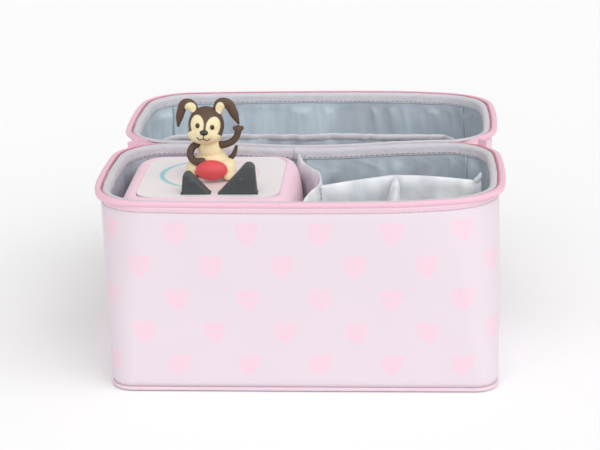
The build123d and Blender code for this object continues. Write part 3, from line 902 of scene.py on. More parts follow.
def build_lining_seams(prefix, low, lid, body, materials):
    """The upright seams where the lining's side and long panels meet."""
    tubes = []
    for i in range(len(PLAN.s) - 1):
        x, y = PLAN.p[i]
        if abs(abs(x) - 117.0) < 0.45 and not any(math.dist((x, y), t[:2]) < 6 for t in tubes):
            tubes.append((x, y, i))
    ridges = []
    for number, (x, y, i) in enumerate(tubes):
        path = []
        for z in np.linspace(low + 2, RIM_Z - 9, 20):
            q = PLAN.at(i, -6.3 - 0.5 * wobble(x, y, z, 14, 3.7), z)
            point = (*q, z - rear_dip(*q) * 0.5)
            path.append(mirrored_to_lid(point) if lid else point)
        ridges.append(tube(f"{prefix}_ridge_{number}", path, 0.75 if lid else 0.5, sides=8))
    finish_piece(joined(prefix + "_lining_seams", ridges), materials["lining"], body)


def build_binding_joint(materials):
    """Where the two ends of the case's binding overlap, on the rear wall."""
    x = -5.0
    columns = np.linspace(x - 4.5, x + 4.5, 10)
    path = [(-5.95, 126.2), (-6.25, 127.0), (-6.2, 129.5), (-6.15, 131.6), (-5.7, 133.2), (-4.5, 134.15),
            (-2.8, 134.55), (-1.2, 134.3)]
    rows = [[(c, REAR_Y + out, z - rear_dip(c, 69)) for c in columns] for out, z in path]
    patch = grid("binding_joint", rows, list(columns), running(path))
    thicken(patch, 0.35)
    finish_piece(patch, materials["binding"], "case")
    sewn = []
    for k, c in enumerate((x - 3.2, x + 3.2)):
        route = [((c, REAR_Y + out - 0.25, z - rear_dip(c, 69)), (0, -1, 0)) for out, z in path[:4]]
        sewn.append(stitches(f"binding_joint_row_{k}", route, 1.6, 1.2, 0.22))
    finish_piece(joined("binding_joint_stitches", sewn), materials["thread_grey"], "case")


def build_piping(prefix, z, lid, body, materials, node):
    """The round piping sewn into the outer edge of the base or the lid's top."""
    angles = np.linspace(0, 2 * math.pi, 13)[:-1]
    profile = [(-0.4 + 1.15 * math.cos(a), z + 1.3 * math.sin(a)) for a in angles]
    piping = band(prefix + "_edge_piping", profile, lid=lid)
    finish_piece(piping, materials["piping"], body, (node,))


def panel_disc(name, grow, z, rise, lid, up, thickness):
    """A full-plan fabric panel that swells slightly in the middle. up is +1 or -1, the way it faces."""
    shrink = [1.0, 0.97, 0.9, 0.8, 0.66, 0.5, 0.33, 0.16]
    plan = Plan(240)
    rows = []
    for k in shrink:
        row = []
        for i in range(len(plan.s) - 1):
            x, y = plan.at(i, grow, z) * k + np.array((0, (1 - k) * -0.5))
            lift = rise * (1 - k**4) * (0.75 + 0.35 * wobble(x, y, z, 34, 2.9))
            row.append((x, 2 * HINGE_Y - y if lid else y, z + up * lift))
        rows.append(row)
    vertices = [p for row in rows for p in row]
    count = len(rows[0])
    faces = []
    for j in range(len(rows) - 1):
        for i in range(count):
            k = (i + 1) % count
            faces.append((j * count + i, j * count + k, (j + 1) * count + k, (j + 1) * count + i))
    vertices.append((0.0, (2 * HINGE_Y + 0.5) if lid else -0.5, z + up * rise))
    faces += [((len(rows) - 1) * count + i, (len(rows) - 1) * count + (i + 1) % count, len(vertices) - 1)
              for i in range(count)]
    uvs = [(vertices[i][0], -vertices[i][1] if lid else vertices[i][1]) for f in faces for i in f]
    obj = new_object(name, vertices, faces, uvs)
    thicken(obj, thickness)
    recalculate(obj)
    return obj


def build_panels(materials):
    """Base, floor, lid top and lid ceiling."""
    base = panel_disc("base_fabric", -1.5, 0.55, 0.0, False, 1, 1.0)
    finish_piece(base, materials["pink"], "case", ("case_base_fabric",))
    floor = panel_disc("floor_pad", -5.2, 6.6, 1.0, False, 1, 1.2)
    finish_piece(floor, materials["lining"], "case", ("case_floor_pad",))
    board = panel_disc("base_stiffener", -3.9, 2.4, 0.0, False, 1, 2.2)
    finish_piece(board, materials["stiffener"], "case", ("case_base_board",))
    board = panel_disc("lid_stiffener", -3.9, LID_FLOOR_Z + 3.0, 0.0, True, 1, 2.0)
    finish_piece(board, materials["stiffener"], "lid", ("lid_top_board",))
    top = panel_disc("lid_top_panel", -1.0, LID_FLOOR_Z + 1.4, 1.4, True, -1, 0.9)
    finish_piece(top, materials["printed"], "lid", ("lid_top_fabric",))
    ceiling = panel_disc("lid_ceiling_lining", -5.0, LID_FLOOR_Z + 4.6, 1.0, True, 1, 0.9)
    finish_piece(ceiling, materials["lining"], "lid", ("lid_top_lining",))


def corner_setback(x):
    """How far the rear wall has curved away from its straight run, at a distance from the middle."""
    past = max(0.0, abs(x) - REAR_CORNER_X)
    return CORNER_RADIUS - math.sqrt(CORNER_RADIUS**2 - past**2)


def build_hinge(materials):
    """One strip of cloth from the case's rear wall, over the gap and down the lid's wall."""
    low, high = 119, 130.2
    columns = np.linspace(-HINGE_HALF, HINGE_HALF, 80)
    case_y, lid_y = REAR_Y + 0.45, 2 * HINGE_Y - REAR_Y - 0.45
    path = [(case_y, z) for z in np.linspace(low, high, 9)]
    radius = (lid_y - case_y) / 2
    angles = np.linspace(0, math.pi, 15)[1:-1]
    path += [(HINGE_Y - radius * math.cos(a), high + 1.6 * math.sin(a)) for a in angles]
    path += [(lid_y, z) for z in np.linspace(high, low, 9)]
    rows = []
    for y, z in path:
        across = (y - HINGE_Y) / (lid_y - HINGE_Y)
        rows.append([(x, y + across * corner_setback(x), z - 0.6 * rear_dip(x, 70)) for x in columns])
    strip = grid("hinge_cloth", rows, list(columns), running(path))
    thicken(strip, 0.35)
    strip.data.materials.append(materials["pink"])
    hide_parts("hinge_strip_case_side", "hinge_strip_lid_side")
    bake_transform(strip)


def build_case(materials):
    build_shell("case", 0.0, False, "case", materials)
    build_shell("lid", LID_FLOOR_Z, True, "lid", materials)
    build_rim("case", False, "case", materials)
    build_rim("lid", True, "lid", materials)
    build_lining_seams("case", CASE_LINING_Z, False, "case", materials)
    build_lining_seams("lid", LID_LINING_Z, True, "lid", materials)
    build_binding_joint(materials)
    build_piping("case", PIPING_RISE, False, "case", materials, "case_base_piping")
    build_piping("lid", LID_FLOOR_Z + PIPING_RISE, True, "lid", materials, "lid_top_piping")
    build_panels(materials)
    build_hinge(materials)


# ================================================================ lid pocket and handle
POCKET_HALF = 106.0


def build_pocket(materials):
    """A loose pocket on the lid's hinge-side wall, gathered on an elastic hem that bulges inward."""
    rear = 2 * HINGE_Y - REAR_Y + 6.4
    low, high = LID_FLOOR_Z + 7, RIM_Z - 3.6
    columns = np.linspace(-POCKET_HALF, POCKET_HALF, 150)
    heights = np.linspace(low, high, 22)
    rows = []
    for z in heights:
        row = []
        for x in columns:
            t = abs(x) / POCKET_HALF
            open_end = smooth(low, high, z)
            belly = 15.0 * (1 - t**24) * (0.3 + 0.7 * open_end)
            gather = 1.5 * wobble(x, 0, z * 0.1, 7.5, 3.3) * (0.4 + 0.6 * open_end) * smooth(0.02, 0.3, 1 - t)
            crumple = 3.4 * smooth(0.76, 0.95, t) * wobble(x, 0, z * 0.4, 4.2, 6.1)
            dip = 1.2 * wobble(x, 0, 0, 55, 4.6) * open_end
            lift = 0.8 * smooth(0.8, 1, t) * open_end
            row.append((x, rear + max(0.4, belly + gather + crumple), z - dip + lift))
        rows.append(row)
    pocket = grid("lid_pocket_cloth", rows, list(columns), list(heights))
    settle(pocket, lambda x, y, z: z < low + 1.5 or abs(x) > POCKET_HALF - 1, grow=0.03, cap=3.0, frames=14)
    hem_path = [Vector(v.co) / MM for v in pocket.data.vertices][-len(columns):]
    thicken(pocket, 0.5)
    finish_piece(pocket, materials["lining"], "lid", ("lid_pocket",))
    hem = elastic_hem(hem_path)
    finish_piece(hem, materials["binding"], "lid")


def elastic_hem(path):
    """A flat elastic tape folded over the pocket's mouth."""
    section = [(-0.9, -3.6), (-1.0, 0.0), (-0.6, 0.7), (0.0, 0.9), (0.6, 0.7), (1.0, 0.0), (0.9, -3.6),
               (0.0, -3.9)]
    rows = [[] for _ in section]
    along, length = [], 0.0
    for i, p in enumerate(path):
        length += (p - path[i - 1]).length if i else 0
        along.append(length)
        for k, (out, up) in enumerate(section):
            rows[k].append((p.x, p.y + out, p.z + up + 0.2))
    return grid("lid_pocket_hem", rows, along, running(section), wrap_v=True, caps=True)


def build_handle(materials):
    """The webbing handle under the open lid, with its sewn patches."""
    low, high = box_in_mm("handle_strap")
    middle_y = (low[1] + high[1]) / 2
    width = high[1] - low[1]
    foot = high[2] - 1.0
    crown = low[2] + 1.0
    reach = high[0]
    span, slope = reach - 26, 24.0
    xs = np.linspace(-reach, reach, 141)
    rows = []
    for j in range(15):
        side = (j / 14 - 0.5) * width
        row = []
        for x in xs:
            drop = smooth(0, slope, span - abs(x))
            edge = 0.5 * (abs(side) / (width / 2)) ** 6
            row.append((x, middle_y + side * (1 - 0.1 * drop), foot + (crown - foot) * drop + edge))
        rows.append(row)
    strap = grid("handle_webbing_strap", rows, list(xs), [j * width / 14 for j in range(15)])
    thicken(strap, 1.9)
    finish_piece(strap, materials["webbing"], "lid", ("handle_strap",))
    top = box_in_mm("handle_patches")[1][2]
    sewn = []
    for side in (-1, 1):
        centre = side * (reach - 13)
        corners = [(centre - 11, middle_y - 10), (centre + 11, middle_y - 10), (centre + 11, middle_y + 10),
                   (centre - 11, middle_y + 10), (centre - 11, middle_y - 10), (centre + 11, middle_y + 10)]
        crossing = [(centre + 11, middle_y - 10), (centre - 11, middle_y + 10)]
        for k, line in enumerate((corners, crossing)):
            route = [((x, y, foot - 1.05), (0, 0, -1)) for x, y in line]
            sewn.append(stitches(f"handle_stitch_{side + 1}_{k}", route, 3.0, 2.4, 0.3))
    finish_piece(joined("handle_stitches", sewn), materials["thread_pink"], "lid")
    patches = []
    for side in (-1, 1):
        centre = side * (reach - 13)
        patches.append(soft_patch(f"patch_{side + 1}", centre, middle_y, 15.5, 15.5, top - 0.6))
    squares = joined("handle_sewn_patches", patches)
    finish_piece(squares, materials["pink"], "lid", ("handle_patches",))


def soft_patch(name, x, y, half_x, half_y, z):
    """A small square of folded fabric with rounded edges."""
    count = 13
    steps = np.linspace(-1, 1, count)
    rows = []
    for b in steps:
        rows.append([(x + half_x * a, y + half_y * b, z + 0.25 * max(abs(a), abs(b)) ** 8) for a in steps])
    patch = grid(name, rows, [half_x * a for a in steps], [half_y * b for b in steps])
    thicken(patch, 1.1)
    return patch


# ================================================================ organiser
PANEL_LOW = 8.6
PANEL_TOP = 128.0


def arc_points(start, through, end, count):
    """Evenly spaced plan points on the circle through three points."""
    ax, ay = start
    bx, by = through
    cx, cy = end
    d = 2 * (ax * (by - cy) + bx * (cy - ay) + cx * (ay - by))
    ux = ((ax**2 + ay**2) * (by - cy) + (bx**2 + by**2) * (cy - ay) + (cx**2 + cy**2) * (ay - by)) / d
    uy = ((ax**2 + ay**2) * (cx - bx) + (bx**2 + by**2) * (ax - cx) + (cx**2 + cy**2) * (bx - ax)) / d
    r = math.dist((ux, uy), start)
    a0, a1 = heading((ux, uy), start), heading((ux, uy), end)
    am = heading((ux, uy), through)
    sweep = (a1 - a0 + math.pi) % (2 * math.pi) - math.pi
    middle = a0 + ((am - a0 + math.pi) % (2 * math.pi) - math.pi)
    if not min(a0, a0 + sweep) - 0.01 < middle < max(a0, a0 + sweep) + 0.01:
        sweep -= math.copysign(2 * math.pi, sweep)
    angles = [a0 + sweep * t for t in np.linspace(0, 1, count)]
    return [(ux + r * math.cos(a), uy + r * math.sin(a)) for a in angles]


def pillow_panel(name, path, top_line, thick, seed):
    """A padded upright panel: two cloth faces sewn round their edges over a thin pad.

    top_line(t) is how far the top edge dips below PANEL_TOP at a share t of the way along."""
    path = [Vector((x, y)) for x, y in path]
    along = [0.0]
    for a, b in zip(path, path[1:]):
        along.append(along[-1] + (b - a).length)
    total = along[-1]
    rows_count = 30
    section = []
    for side in (1, -1):
        heights = np.linspace(0, 1, rows_count)
        section += [(side, h) for h in (heights if side == 1 else heights[::-1][1:-1])]
    rows = []
    for side, h in section:
        row = []
        for i, p in enumerate(path):
            t = along[i] / total
            way = (path[min(i + 1, len(path) - 1)] - path[max(i - 1, 0)]).normalized()
            across = Vector((-way.y, way.x))
            top = PANEL_TOP - top_line(t)
            z = PANEL_LOW + (top - PANEL_LOW) * h
            edge = min(1, (1 - h) * 14) * min(1, h * 14)
            end = min(1, t * total / 5) * min(1, (1 - t) * total / 5)
            swell = thick / 2 * (0.25 + 0.75 * math.sqrt(max(0, edge))) * (0.4 + 0.6 * end)
            sway = 1.8 * wobble(along[i], 0, z, 36, seed) * smooth(PANEL_LOW, PANEL_TOP, z)
            crease = 1.1 * wobble(along[i], side, z, 13, seed + 4) * edge
            crease += 0.5 * wobble(along[i], z, side, 6, seed) * edge
            q = p + across * (side * (swell + crease * 0.5) + sway)
            row.append((q.x, q.y, z))
        rows.append(row)
    v = [0.0]
    for (_, h0), (_, h1) in zip(section, section[1:]):
        v.append(v[-1] + max(0.5, abs(h1 - h0) * (PANEL_TOP - PANEL_LOW)))
    return grid(name, rows, along, v, wrap_v=True, caps=True)


def build_panel_seams(materials, kink):
    """Upright stitching where the long divider is sewn to the separator, and the tab at its far end."""
    heights = np.linspace(PANEL_TOP - 2, PANEL_TOP - 40, 30)
    route = [((kink[0] + 3.4, kink[1] - 2.2, z), (0.35, -0.94, 0.0)) for z in heights]
    seam = stitches("organiser_seam_stitches", route, pitch=3.2, length=2.3, radius=0.24)
    finish_piece(seam, materials["thread_grey"], "organiser")
    ends = [(118.5, -1.0, PANEL_TOP - 1.5), (120.5, -1.6, PANEL_TOP + 0.8), (121.6, -2.2, PANEL_TOP + 4.2)]
    path, radii = smooth_path(ends, [2.0, 1.7, 0.7], count=10)
    tab = tube("organiser_folded_tab", path, radii, sides=10)
    finish_piece(tab, materials["panel"], "organiser")


def separator_top(t):
    """The separator's upper edge: a folded corner at the rear, a dip, then a level run to the front."""
    return -2.2 * math.exp(-((t - 0.02) / 0.05) ** 2) - 1.6 * math.exp(-((t - 0.36) / 0.06) ** 2) + 0.4


def build_organiser(materials):
    """Separator, long divider and cross divider, as soft padded panels."""
    kink, crossing = (10.4, -13.0), (62.0, 9.0)
    fold = (3.4, 34.0)
    rear = arc_points((-6.2, 62.5), (-1.4, 46.0), fold, 34)
    rear += arc_points(fold, (8.8, 22.0), kink, 40)[1:]
    front = arc_points(kink, (4.0, -38.0), (2.2, -66.5), 50)[1:]
    left = arc_points((12.4, -11.6), (37.9, -1.6), crossing, 50)
    right = arc_points(crossing, (92.0, 7.5), (122.5, -2.0), 50)[1:]
    cross = arc_points((62.4, 6.4), (63.2, -26.0), (61.0, -65.0), 60)
    plans = [
        ("organiser_separator", rear + front, separator_top, 3.4, 1.7),
        ("organiser_long_divider", left + right, lambda t: -1.2 + 1.5 * abs(2 * t - 0.9), 3.6, 5.9),
        ("organiser_cross_divider", cross, lambda t: -1.8 + 3.4 * t, 7.0, 8.3),
    ]
    for node, path, top_line, thick, seed in plans:
        piece = pillow_panel(node + "_panel", path, top_line, thick, seed)
        ends = (Vector(path[0]), Vector(path[-1]))

        def sewn(x, y, z, ends=ends):
            near_end = min((Vector((x, y)) - e).length for e in ends) < 4
            return z < PANEL_LOW + 2 or z > PANEL_TOP - 6 or near_end

        settle(piece, sewn, pressure=1.2, grow=0.015, cap=1.6, frames=14, stiffness=6)
        subdivide(piece)
        finish_piece(piece, materials["panel"], "organiser", (node,))
    build_panel_seams(materials, kink)


# ================================================================ player
def rounded_square(size, corner, count):
    """Points and outward directions round a rounded square, size from its middle to each side."""
    straight = size - corner
    side = 2 * straight + math.pi * corner / 2
    found = []
    for k in range(count):
        quarter, d = divmod(4 * side * k / count, side)
        if d < 2 * straight:
            point, way = (d - straight, size), (0.0, 1.0)
        else:
            angle = math.pi / 2 - (d - 2 * straight) / corner
            way = (math.cos(angle), math.sin(angle))
            point = (straight + corner * way[0], straight + corner * way[1])
        turn = Matrix.Rotation(-quarter * math.pi / 2, 2)
        found.append((turn @ Vector(point), turn @ Vector(way)))
    return found


COVER_INNER_POINTS = 9  # how many points at the end of the cover's section lie on its inner face


def cover_profile(bottom, top):
    """The cover's section as (outward, height): over the shoulder, down, under the foot and up the inside."""
    shoulder = [
        (-12.6, -2.6), (-12.2, -0.6), (-11.4, 0.0), (-10.0, -0.1), (-8.2, -0.8), (-6.6, -2.2),
        (-5.2, -4.2), (-4.0, -6.8), (-3.0, -10.5), (-2.2, -15.0), (-1.3, -22.0),
    ]
    foot = [
        (-0.3, 10), (-1.4, 5), (-3.4, 2), (-6.4, 0.5), (-11.0, 0.1), (-13.4, 1.2), (-13.0, 4.4), (-6.4, 5.2),
    ]
    profile = [(out, top + z) for out, z in shoulder]
    profile += [(-0.5 * abs(z - 62) / 50, z) for z in np.linspace(top - 32, bottom + 20, 12)]
    profile += [(out, bottom + z) for out, z in foot]
    profile += [(-6.2, z) for z in np.linspace(bottom + 12, top - 12, 5)]
    return profile + [(-7.0, top - 5.0), (-12.3, top - 4.2)]


def build_player(materials):
    """The padded cover round the player, which swells a little to the left."""
    low, high = box_in_mm("player_fabric_cover")
    x0, y0 = (low[0] + high[0]) / 2, (low[1] + high[1]) / 2
    half = (high[0] - low[0]) / 2
    corner, count = 22.0, 240
    ring = rounded_square(half, corner, count)
    profile = cover_profile(low[2], high[2])
    outside = len(profile) - COVER_INNER_POINTS
    rows = []
    for j, (out, z) in enumerate(profile):
        row = []
        swell = 2.6 * smooth(-11.5, -3.5, out) if j < outside else 0.0
        for p, n in ring:
            lean = -swell * (1 - smooth(-40, 20, p[0]))
            puff = 0.35 * wobble(p[0], p[1], z, 30, 6.6) if out > -5 else 0.0
            row.append((x0 + lean + p[0] + n[0] * (out + puff), y0 + p[1] + n[1] * (out + puff), z))
        rows.append(row)
    perimeter = [k * (8 * (half - corner) + 2 * math.pi * corner) / count for k in range(count)]
    cover = grid("player_cover", rows, perimeter, running(profile), wrap_u=True, wrap_v=True)
    subdivide(cover)
    finish_piece(cover, materials["cover"], "player", ("player_fabric_cover",))


def build_ear_dots(materials):
    """The low raised dot on the front of each ear."""
    for node, x, z in (("ear_small", -71.2, 138.3), ("ear_large", -38.2, 139.4)):
        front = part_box(node)[0][1] / MM
        dot = blob(node + "_dot", (x, front + 0.1, z), (2.6, 0.75, 2.6))
        shade_smooth(dot)
        finish_piece(dot, materials["ear"], node)


CAD_FINISHES = {
    "player_top_plate": "plate", "player_seat_ring": "ring", "ear_small": "ear", "ear_large": "ear",
    "player_inner_housing": "housing", "player_base_plate": "housing", "player_battery_tray": "housing",
    "player_base_screws": "steel", "player_speaker_magnet": "steel", "player_seat_magnets": "steel",
    "figurine_magnet": "steel", "player_charge_contacts": "brass", "player_foot_ring": "foot",
    "player_speaker": "dark", "player_ear_switches": "dark", "player_circuit_board": "board",
    "figurine_tag": "board", "player_battery_cells": "cell", "player_tag_antenna": "copper",
    "zip_slider_left": "slider", "zip_slider_right": "slider", "zip_pull_left": "pull",
    "zip_pull_right": "pull", "figurine_base_disc": "housing",
}


def finish_cad_nodes(materials):
    """Materials for the hard parts that stay as they were designed."""
    for node, material in CAD_FINISHES.items():
        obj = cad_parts[node]
        for slot in obj.material_slots:
            slot.material = materials[material]
        if not obj.material_slots:
            obj.data.materials.append(materials[material])


# ================================================================ figurine
CREAM = srgb(246, 230, 186)
BROWN = srgb(88, 66, 52)
TOY = Vector((-62.5, 0.0, 130.2))  # middle of the figurine's underside


def blob(name, centre, radii, turn=(0, 0, 0)):
    """A ball or egg as a mesh, to be merged into a larger form."""
    work = bmesh.new()
    bmesh.ops.create_icosphere(work, subdivisions=4, radius=1.0)
    spin = Matrix.Rotation(math.radians(turn[2]), 4, "Z") @ Matrix.Rotation(math.radians(turn[1]), 4, "Y") \
        @ Matrix.Rotation(math.radians(turn[0]), 4, "X")
    size = Matrix.Diagonal((radii[0] * MM, radii[1] * MM, radii[2] * MM, 1))
    work.transform(Matrix.Translation(Vector(centre) * MM) @ spin @ size)
    mesh = bpy.data.meshes.new(name)
    work.to_mesh(mesh)
    work.free()
    obj = bpy.data.objects.new(name, mesh)
    bpy.context.scene.collection.objects.link(obj)
    return obj


def smooth_path(points, radii, count=24):
    """Evenly blended points and radii along a few control points."""
    controls = [Vector(p) for p in points]
    out, sizes = [], []
    spans = len(controls) - 1
    for i in range(count + 1):
        t = i / count * spans
        k = min(int(t), spans - 1)
        f = t - k
        p0, p1 = controls[max(k - 1, 0)], controls[k]
        p2, p3 = controls[k + 1], controls[min(k + 2, spans)]
        out.append(0.5 * ((2 * p1) + (p2 - p0) * f + (2 * p0 - 5 * p1 + 4 * p2 - p3) * f * f
                          + (3 * p1 - p0 - 3 * p2 + p3) * f**3))
        g = f * f * (3 - 2 * f)
        sizes.append(radii[k] * (1 - g) + radii[k + 1] * g)
    return out, sizes


def fused(name, parts, voxel=0.45, passes=6):
    """Merges overlapping forms into one smooth skin."""
    obj = joined(name, parts)
    remesh = obj.modifiers.new("skin", "REMESH")
    remesh.mode = "VOXEL"
    remesh.voxel_size = voxel * MM
    soften = obj.modifiers.new("soften", "SMOOTH")
    soften.iterations = passes
    soften.factor = 0.5
    apply_modifiers(obj)
    shade_smooth(obj)
    return obj


def paint(obj, colour_at):
    """Stores a colour on each point: colour_at(point in millimetres from the figurine's foot)."""
    layer = obj.data.color_attributes.new("Paint", "FLOAT_COLOR", "POINT")
    values = []
    for vertex in obj.data.vertices:
        values += [*colour_at(Vector(vertex.co) / MM - TOY), 1.0]
    layer.data.foreach_set("color", values)


def blend_colour(a, b, t):
    return tuple(p * (1 - t) + q * t for p, q in zip(a, b))


HEAD = Vector((-2.0, -2.0, 36.5))
HEAD_RADII = (12.3, 11.2, 12.9)
HEAD_TILT = math.radians(7)


def head_point(side, forward, up):
    """A place on or near the head, in its own tilted directions, as millimetres from the figurine's foot."""
    c, s = math.cos(HEAD_TILT), math.sin(HEAD_TILT)
    return HEAD + Vector((side * c + up * s, -forward, up * c - side * s))


def head_local(p):
    """The reverse of head_point: how far to the side, forward and up a place is."""
    d = p - HEAD
    c, s = math.cos(HEAD_TILT), math.sin(HEAD_TILT)
    return d.x * c - d.z * s, -d.y, d.x * s + d.z * c


def head_colour(p):
    """Brown crown and back, cream eye patches, muzzle and cheeks."""
    side, forward, up = head_local(p)
    patch = min(((side - k * 5.4) / 4.7) ** 2 + ((up - 1.6) / 6.6) ** 2 for k in (-1, 1))
    lower = ((side) / 12.8) ** 2 + ((up + 8.6) / 7.6) ** 2
    cream = max(1 - smooth(0.9, 1.08, patch), 1 - smooth(0.92, 1.06, lower))
    return blend_colour(BROWN, CREAM, cream * smooth(-3.5, -1.5, forward))


EARS = [
    (-1, "left", [3.0, 3.6, 3.4, 2.9, 1.1],
     [(-8.4, 0, 8.4), (-11.8, 0, 13.0), (-16.2, -0.6, 12.4), (-18.4, -1.2, 5.0), (-19.2, -1.8, -3.4)]),
    (1, "right", [3.2, 4.0, 3.6, 3.2, 1.1],
     [(6.6, 0, 9.6), (8.2, 0, 15.6), (13.4, -0.6, 16.2), (17.6, -1.2, 10.6), (21.6, -1.8, 3.4)]),
]


def build_head(materials):
    """The head with its muzzle, floppy ears, bead eyes, nose and a small smile."""
    skull = [
        blob("skull", TOY + HEAD, HEAD_RADII),
        blob("cheeks", TOY + head_point(0, 3.0, -5.2), (11.9, 9.0, 7.6)),
        blob("muzzle", TOY + head_point(0, 9.0, -4.2), (6.6, 4.6, 4.8)),
    ]
    head = fused("puppy_head", skull)
    paint(head, head_colour)
    finish_piece(head, materials["toy"], "figurine", ("figurine_head",))
    for side, name, sizes, route in EARS:
        path, radii = smooth_path([TOY + head_point(*p) for p in route], sizes)
        ear = flat_ear(f"puppy_ear_{name}", path, radii)
        paint(ear, ear_colour(side))
        finish_piece(ear, materials["toy"], "figurine")
    for side, name in ((-1, "left"), (1, "right")):
        bead = blob(f"puppy_eye_{name}", TOY + head_point(side * 5.0, 10.4, 1.6), (1.5, 0.9, 1.75))
        finish_smooth(bead, materials["nose"])
    nose = blob("puppy_nose", TOY + head_point(0, 13.4, -2.0), (2.9, 1.7, 2.0))
    finish_smooth(nose, materials["nose"])
    smile = [head_point(-4.6, 12.3, -6.0), head_point(-2.6, 13.3, -7.4), head_point(0, 13.6, -6.6),
             head_point(2.6, 13.3, -7.4), head_point(4.6, 12.3, -6.0)]
    path, radii = smooth_path([TOY + p for p in smile], [0.22, 0.3, 0.3, 0.3, 0.22])
    lip = [TOY + head_point(0, 13.7, -3.4), TOY + head_point(0, 13.75, -6.6)]
    lines = [tube("smile_line", path, radii, sides=8), tube("lip_line", lip, 0.28, sides=8)]
    finish_smooth(joined("puppy_smile", lines), materials["nose"])


def finish_smooth(obj, material):
    """Finishes a small glossy detail of the figurine's face."""
    shade_smooth(obj)
    finish_piece(obj, material, "figurine")


def flat_ear(name, path, radii):
    """A floppy ear: a flattened, curling tongue."""
    ear = tube(name + "_core", path, radii, sides=16)
    thin = 0.55
    for vertex in ear.data.vertices:
        vertex.co.y = (path[0].y + (vertex.co.y / MM - path[0].y) * thin) * MM
    tip = blob(name + "_tip", path[-1], (radii[-1], radii[-1] * thin, radii[-1]))
    root = blob(name + "_root", path[0], (radii[0], radii[0] * thin * 1.3, radii[0]))
    return fused(name, [ear, tip, root], voxel=0.4, passes=5)


def ear_colour(side):
    """A cream lobe on the front near the head, brown elsewhere."""
    middle = (-11.6, 11.2) if side < 0 else (8.4, 13.2)
    reach = (3.9, 3.6) if side < 0 else (3.1, 4.3)

    def colour(p):
        out, forward, up = head_local(p)
        lobe = ((out - middle[0]) / reach[0]) ** 2 + ((up - middle[1]) / reach[1]) ** 2
        inner = smooth(-0.4, 0.3, forward) * (1 - smooth(0.85, 1.1, lobe))
        return blend_colour(BROWN, CREAM, inner)

    return colour


LIMBS = {
    "puppy_arm_raised": (
        [2.9, 2.6, 2.4, 2.3, 2.5],
        [(6.6, -1.0, 22.0), (11.0, -1.8, 22.8), (16.0, -2.2, 25.2), (18.8, -2.4, 29.0), (19.9, -2.4, 33.2)]),
    "puppy_arm_resting": (
        [2.6, 2.6, 2.5, 2.5, 2.8],
        [(-6.4, -1.0, 23.4), (-11.4, -2.6, 21.4), (-13.4, -5.4, 16.6), (-10.0, -9.0, 12.8),
         (-4.6, -11.6, 13.2)]),
    "puppy_tail": ([2.0, 1.8, 1.2], [(12.0, 6.4, 9.6), (15.2, 6.8, 13.0), (17.2, 7.0, 18.6)]),
}


def build_body(materials):
    """The seated body with its hind legs, one raised paw, one paw on the ball, and the tail."""
    trunk = [
        blob("belly", TOY + Vector((0.5, 1.5, 9.5)), (12.0, 11.0, 9.0)),
        blob("chest", TOY + Vector((0.0, 0.5, 19.0)), (8.6, 7.6, 9.5)),
        blob("neck", TOY + Vector((-0.6, 0.0, 26.5)), (6.4, 5.8, 6.0)),
        blob("thigh_left", TOY + Vector((-10.6, -3.0, 6.4)), (5.8, 8.6, 6.0), (0, 0, 18)),
        blob("thigh_right", TOY + Vector((11.6, -3.0, 6.6)), (5.8, 8.8, 6.2), (0, 0, -18)),
        blob("foot_left", TOY + Vector((-12.4, -11.6, 3.6)), (3.8, 5.4, 3.4), (0, 0, 14)),
        blob("foot_right", TOY + Vector((13.4, -11.4, 3.6)), (3.8, 5.6, 3.4), (0, 0, -14)),
        blob("seat", TOY + Vector((0.0, 1.0, 3.4)), (13.6, 12.6, 3.3)),
    ]
    body = fused("puppy_body", trunk)
    paint(body, lambda p: CREAM)
    finish_piece(body, materials["toy"], "figurine", ("figurine_body",))
    for name, (sizes, points) in LIMBS.items():
        path, radii = smooth_path([TOY + Vector(p) for p in points], sizes)
        parts = [tube(name + "_core", path, radii, sides=16), blob(name + "_end", path[-1], (radii[-1],) * 3),
                 blob(name + "_start", path[0], (radii[0],) * 3)]
        if name == "puppy_arm_raised":
            for k in (-1, 0, 1):
                toe = path[-1] + Vector((k * 2.5, -0.4, 1.9 - 0.7 * abs(k)))
                parts.append(blob(f"toe_{k}", toe, (1.35, 1.6, 1.7)))
        limb = fused(name, parts, voxel=0.4)
        paint(limb, lambda p: BROWN)
        finish_piece(limb, materials["toy"], "figurine")


def build_ball(materials):
    """The red ball between the puppy's feet, with a moulded seam round it."""
    centre = TOY + Vector((2.0, -14.6, 8.0))
    ball = blob("puppy_ball", centre, (10.9, 7.4, 6.9))
    for vertex in ball.data.vertices:
        p = Vector(vertex.co) / MM - centre
        near = math.exp(-((p.x * 0.35 + p.z * 0.9) / 0.5) ** 2)
        vertex.co = (centre + p * (1 - 0.03 * near)) * MM
    subdivide(ball)
    shade_smooth(ball)
    finish_piece(ball, materials["ball"], "figurine", ("figurine_ball",))


def build_figurine(materials):
    build_body(materials)
    build_head(materials)
    build_ball(materials)


# ================================================================ studio
SKY_STRENGTH = 0.64


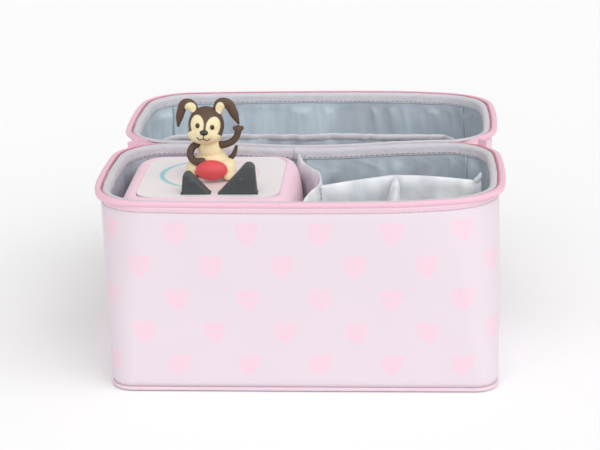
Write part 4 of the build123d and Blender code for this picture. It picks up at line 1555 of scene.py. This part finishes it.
def build_studio():
    """A pale floor, soft light from above and the right, and the camera."""
    corners = [(-3000, -2500, 0), (3000, -2500, 0), (3000, 3000, 0), (-3000, 3000, 0)]
    floor = new_object("studio_floor", corners, [(0, 1, 2, 3)])
    nodes = Nodes("studio_paper")
    tint = nodes.mix(nodes.noise(3.0), srgb(250, 250, 250), srgb(253, 253, 253))
    floor.data.materials.append(nodes.finish(tint, 0.9, specular=0.1))
    world = bpy.data.worlds.new("studio")
    bpy.context.scene.world = world
    world.use_nodes = True
    background = world.node_tree.nodes["Background"]
    background.inputs[0].default_value = (1.0, 1.0, 1.0, 1.0)
    background.inputs[1].default_value = SKY_STRENGTH
    bpy.context.scene.view_settings.view_transform = "Standard"
    add_light("key", (0.95, -0.6, 0.95), 1.0, 60)
    add_light("front", (-0.1, -0.85, 0.5), 1.0, 80)
    add_camera()


def add_light(name, direction, strength, spread):
    """A broad, even light from a direction. spread is its width in degrees, which softens its shadows."""
    data = bpy.data.lights.new(name, "SUN")
    data.angle = math.radians(spread)
    data.energy = strength
    light = bpy.data.objects.new(name, data)
    light.rotation_euler = Vector(direction).to_track_quat("Z", "Y").to_euler()
    bpy.context.scene.collection.objects.link(light)


CAMERA_AZIMUTH = 3.72
CAMERA_ELEVATION = 18.07
CAMERA_ROLL = -1.17
CAMERA_DISTANCE = 1307.4
CAMERA_TARGET = (-2.18, 0.0, 94.36)
LENS = 113.6
SENSOR_WIDTH = 36


def add_camera():
    azimuth, elevation, roll = (math.radians(a) for a in (CAMERA_AZIMUTH, CAMERA_ELEVATION, CAMERA_ROLL))
    level = math.cos(elevation)
    back = Vector((math.sin(azimuth) * level, -math.cos(azimuth) * level, math.sin(elevation)))
    right = (-back).cross(Vector((0, 0, 1))).normalized()
    up = right.cross(-back)
    tilted_right = right * math.cos(roll) + up * math.sin(roll)
    tilted_up = up * math.cos(roll) - right * math.sin(roll)
    data = bpy.data.cameras.new("camera")
    data.lens = LENS
    data.sensor_width = SENSOR_WIDTH
    camera = bpy.data.objects.new("camera", data)
    basis = Matrix((tilted_right, tilted_up, back)).transposed().to_4x4()
    basis.translation = (Vector(CAMERA_TARGET) + back * CAMERA_DISTANCE) * MM
    camera.matrix_world = basis
    bpy.context.scene.collection.objects.link(camera)
    bpy.context.scene.camera = camera


def main():
    materials = make_materials()
    build_case(materials)
    build_pocket(materials)
    build_handle(materials)
    build_organiser(materials)
    build_player(materials)
    build_ear_dots(materials)
    build_figurine(materials)
    finish_cad_nodes(materials)
    build_studio()


main()
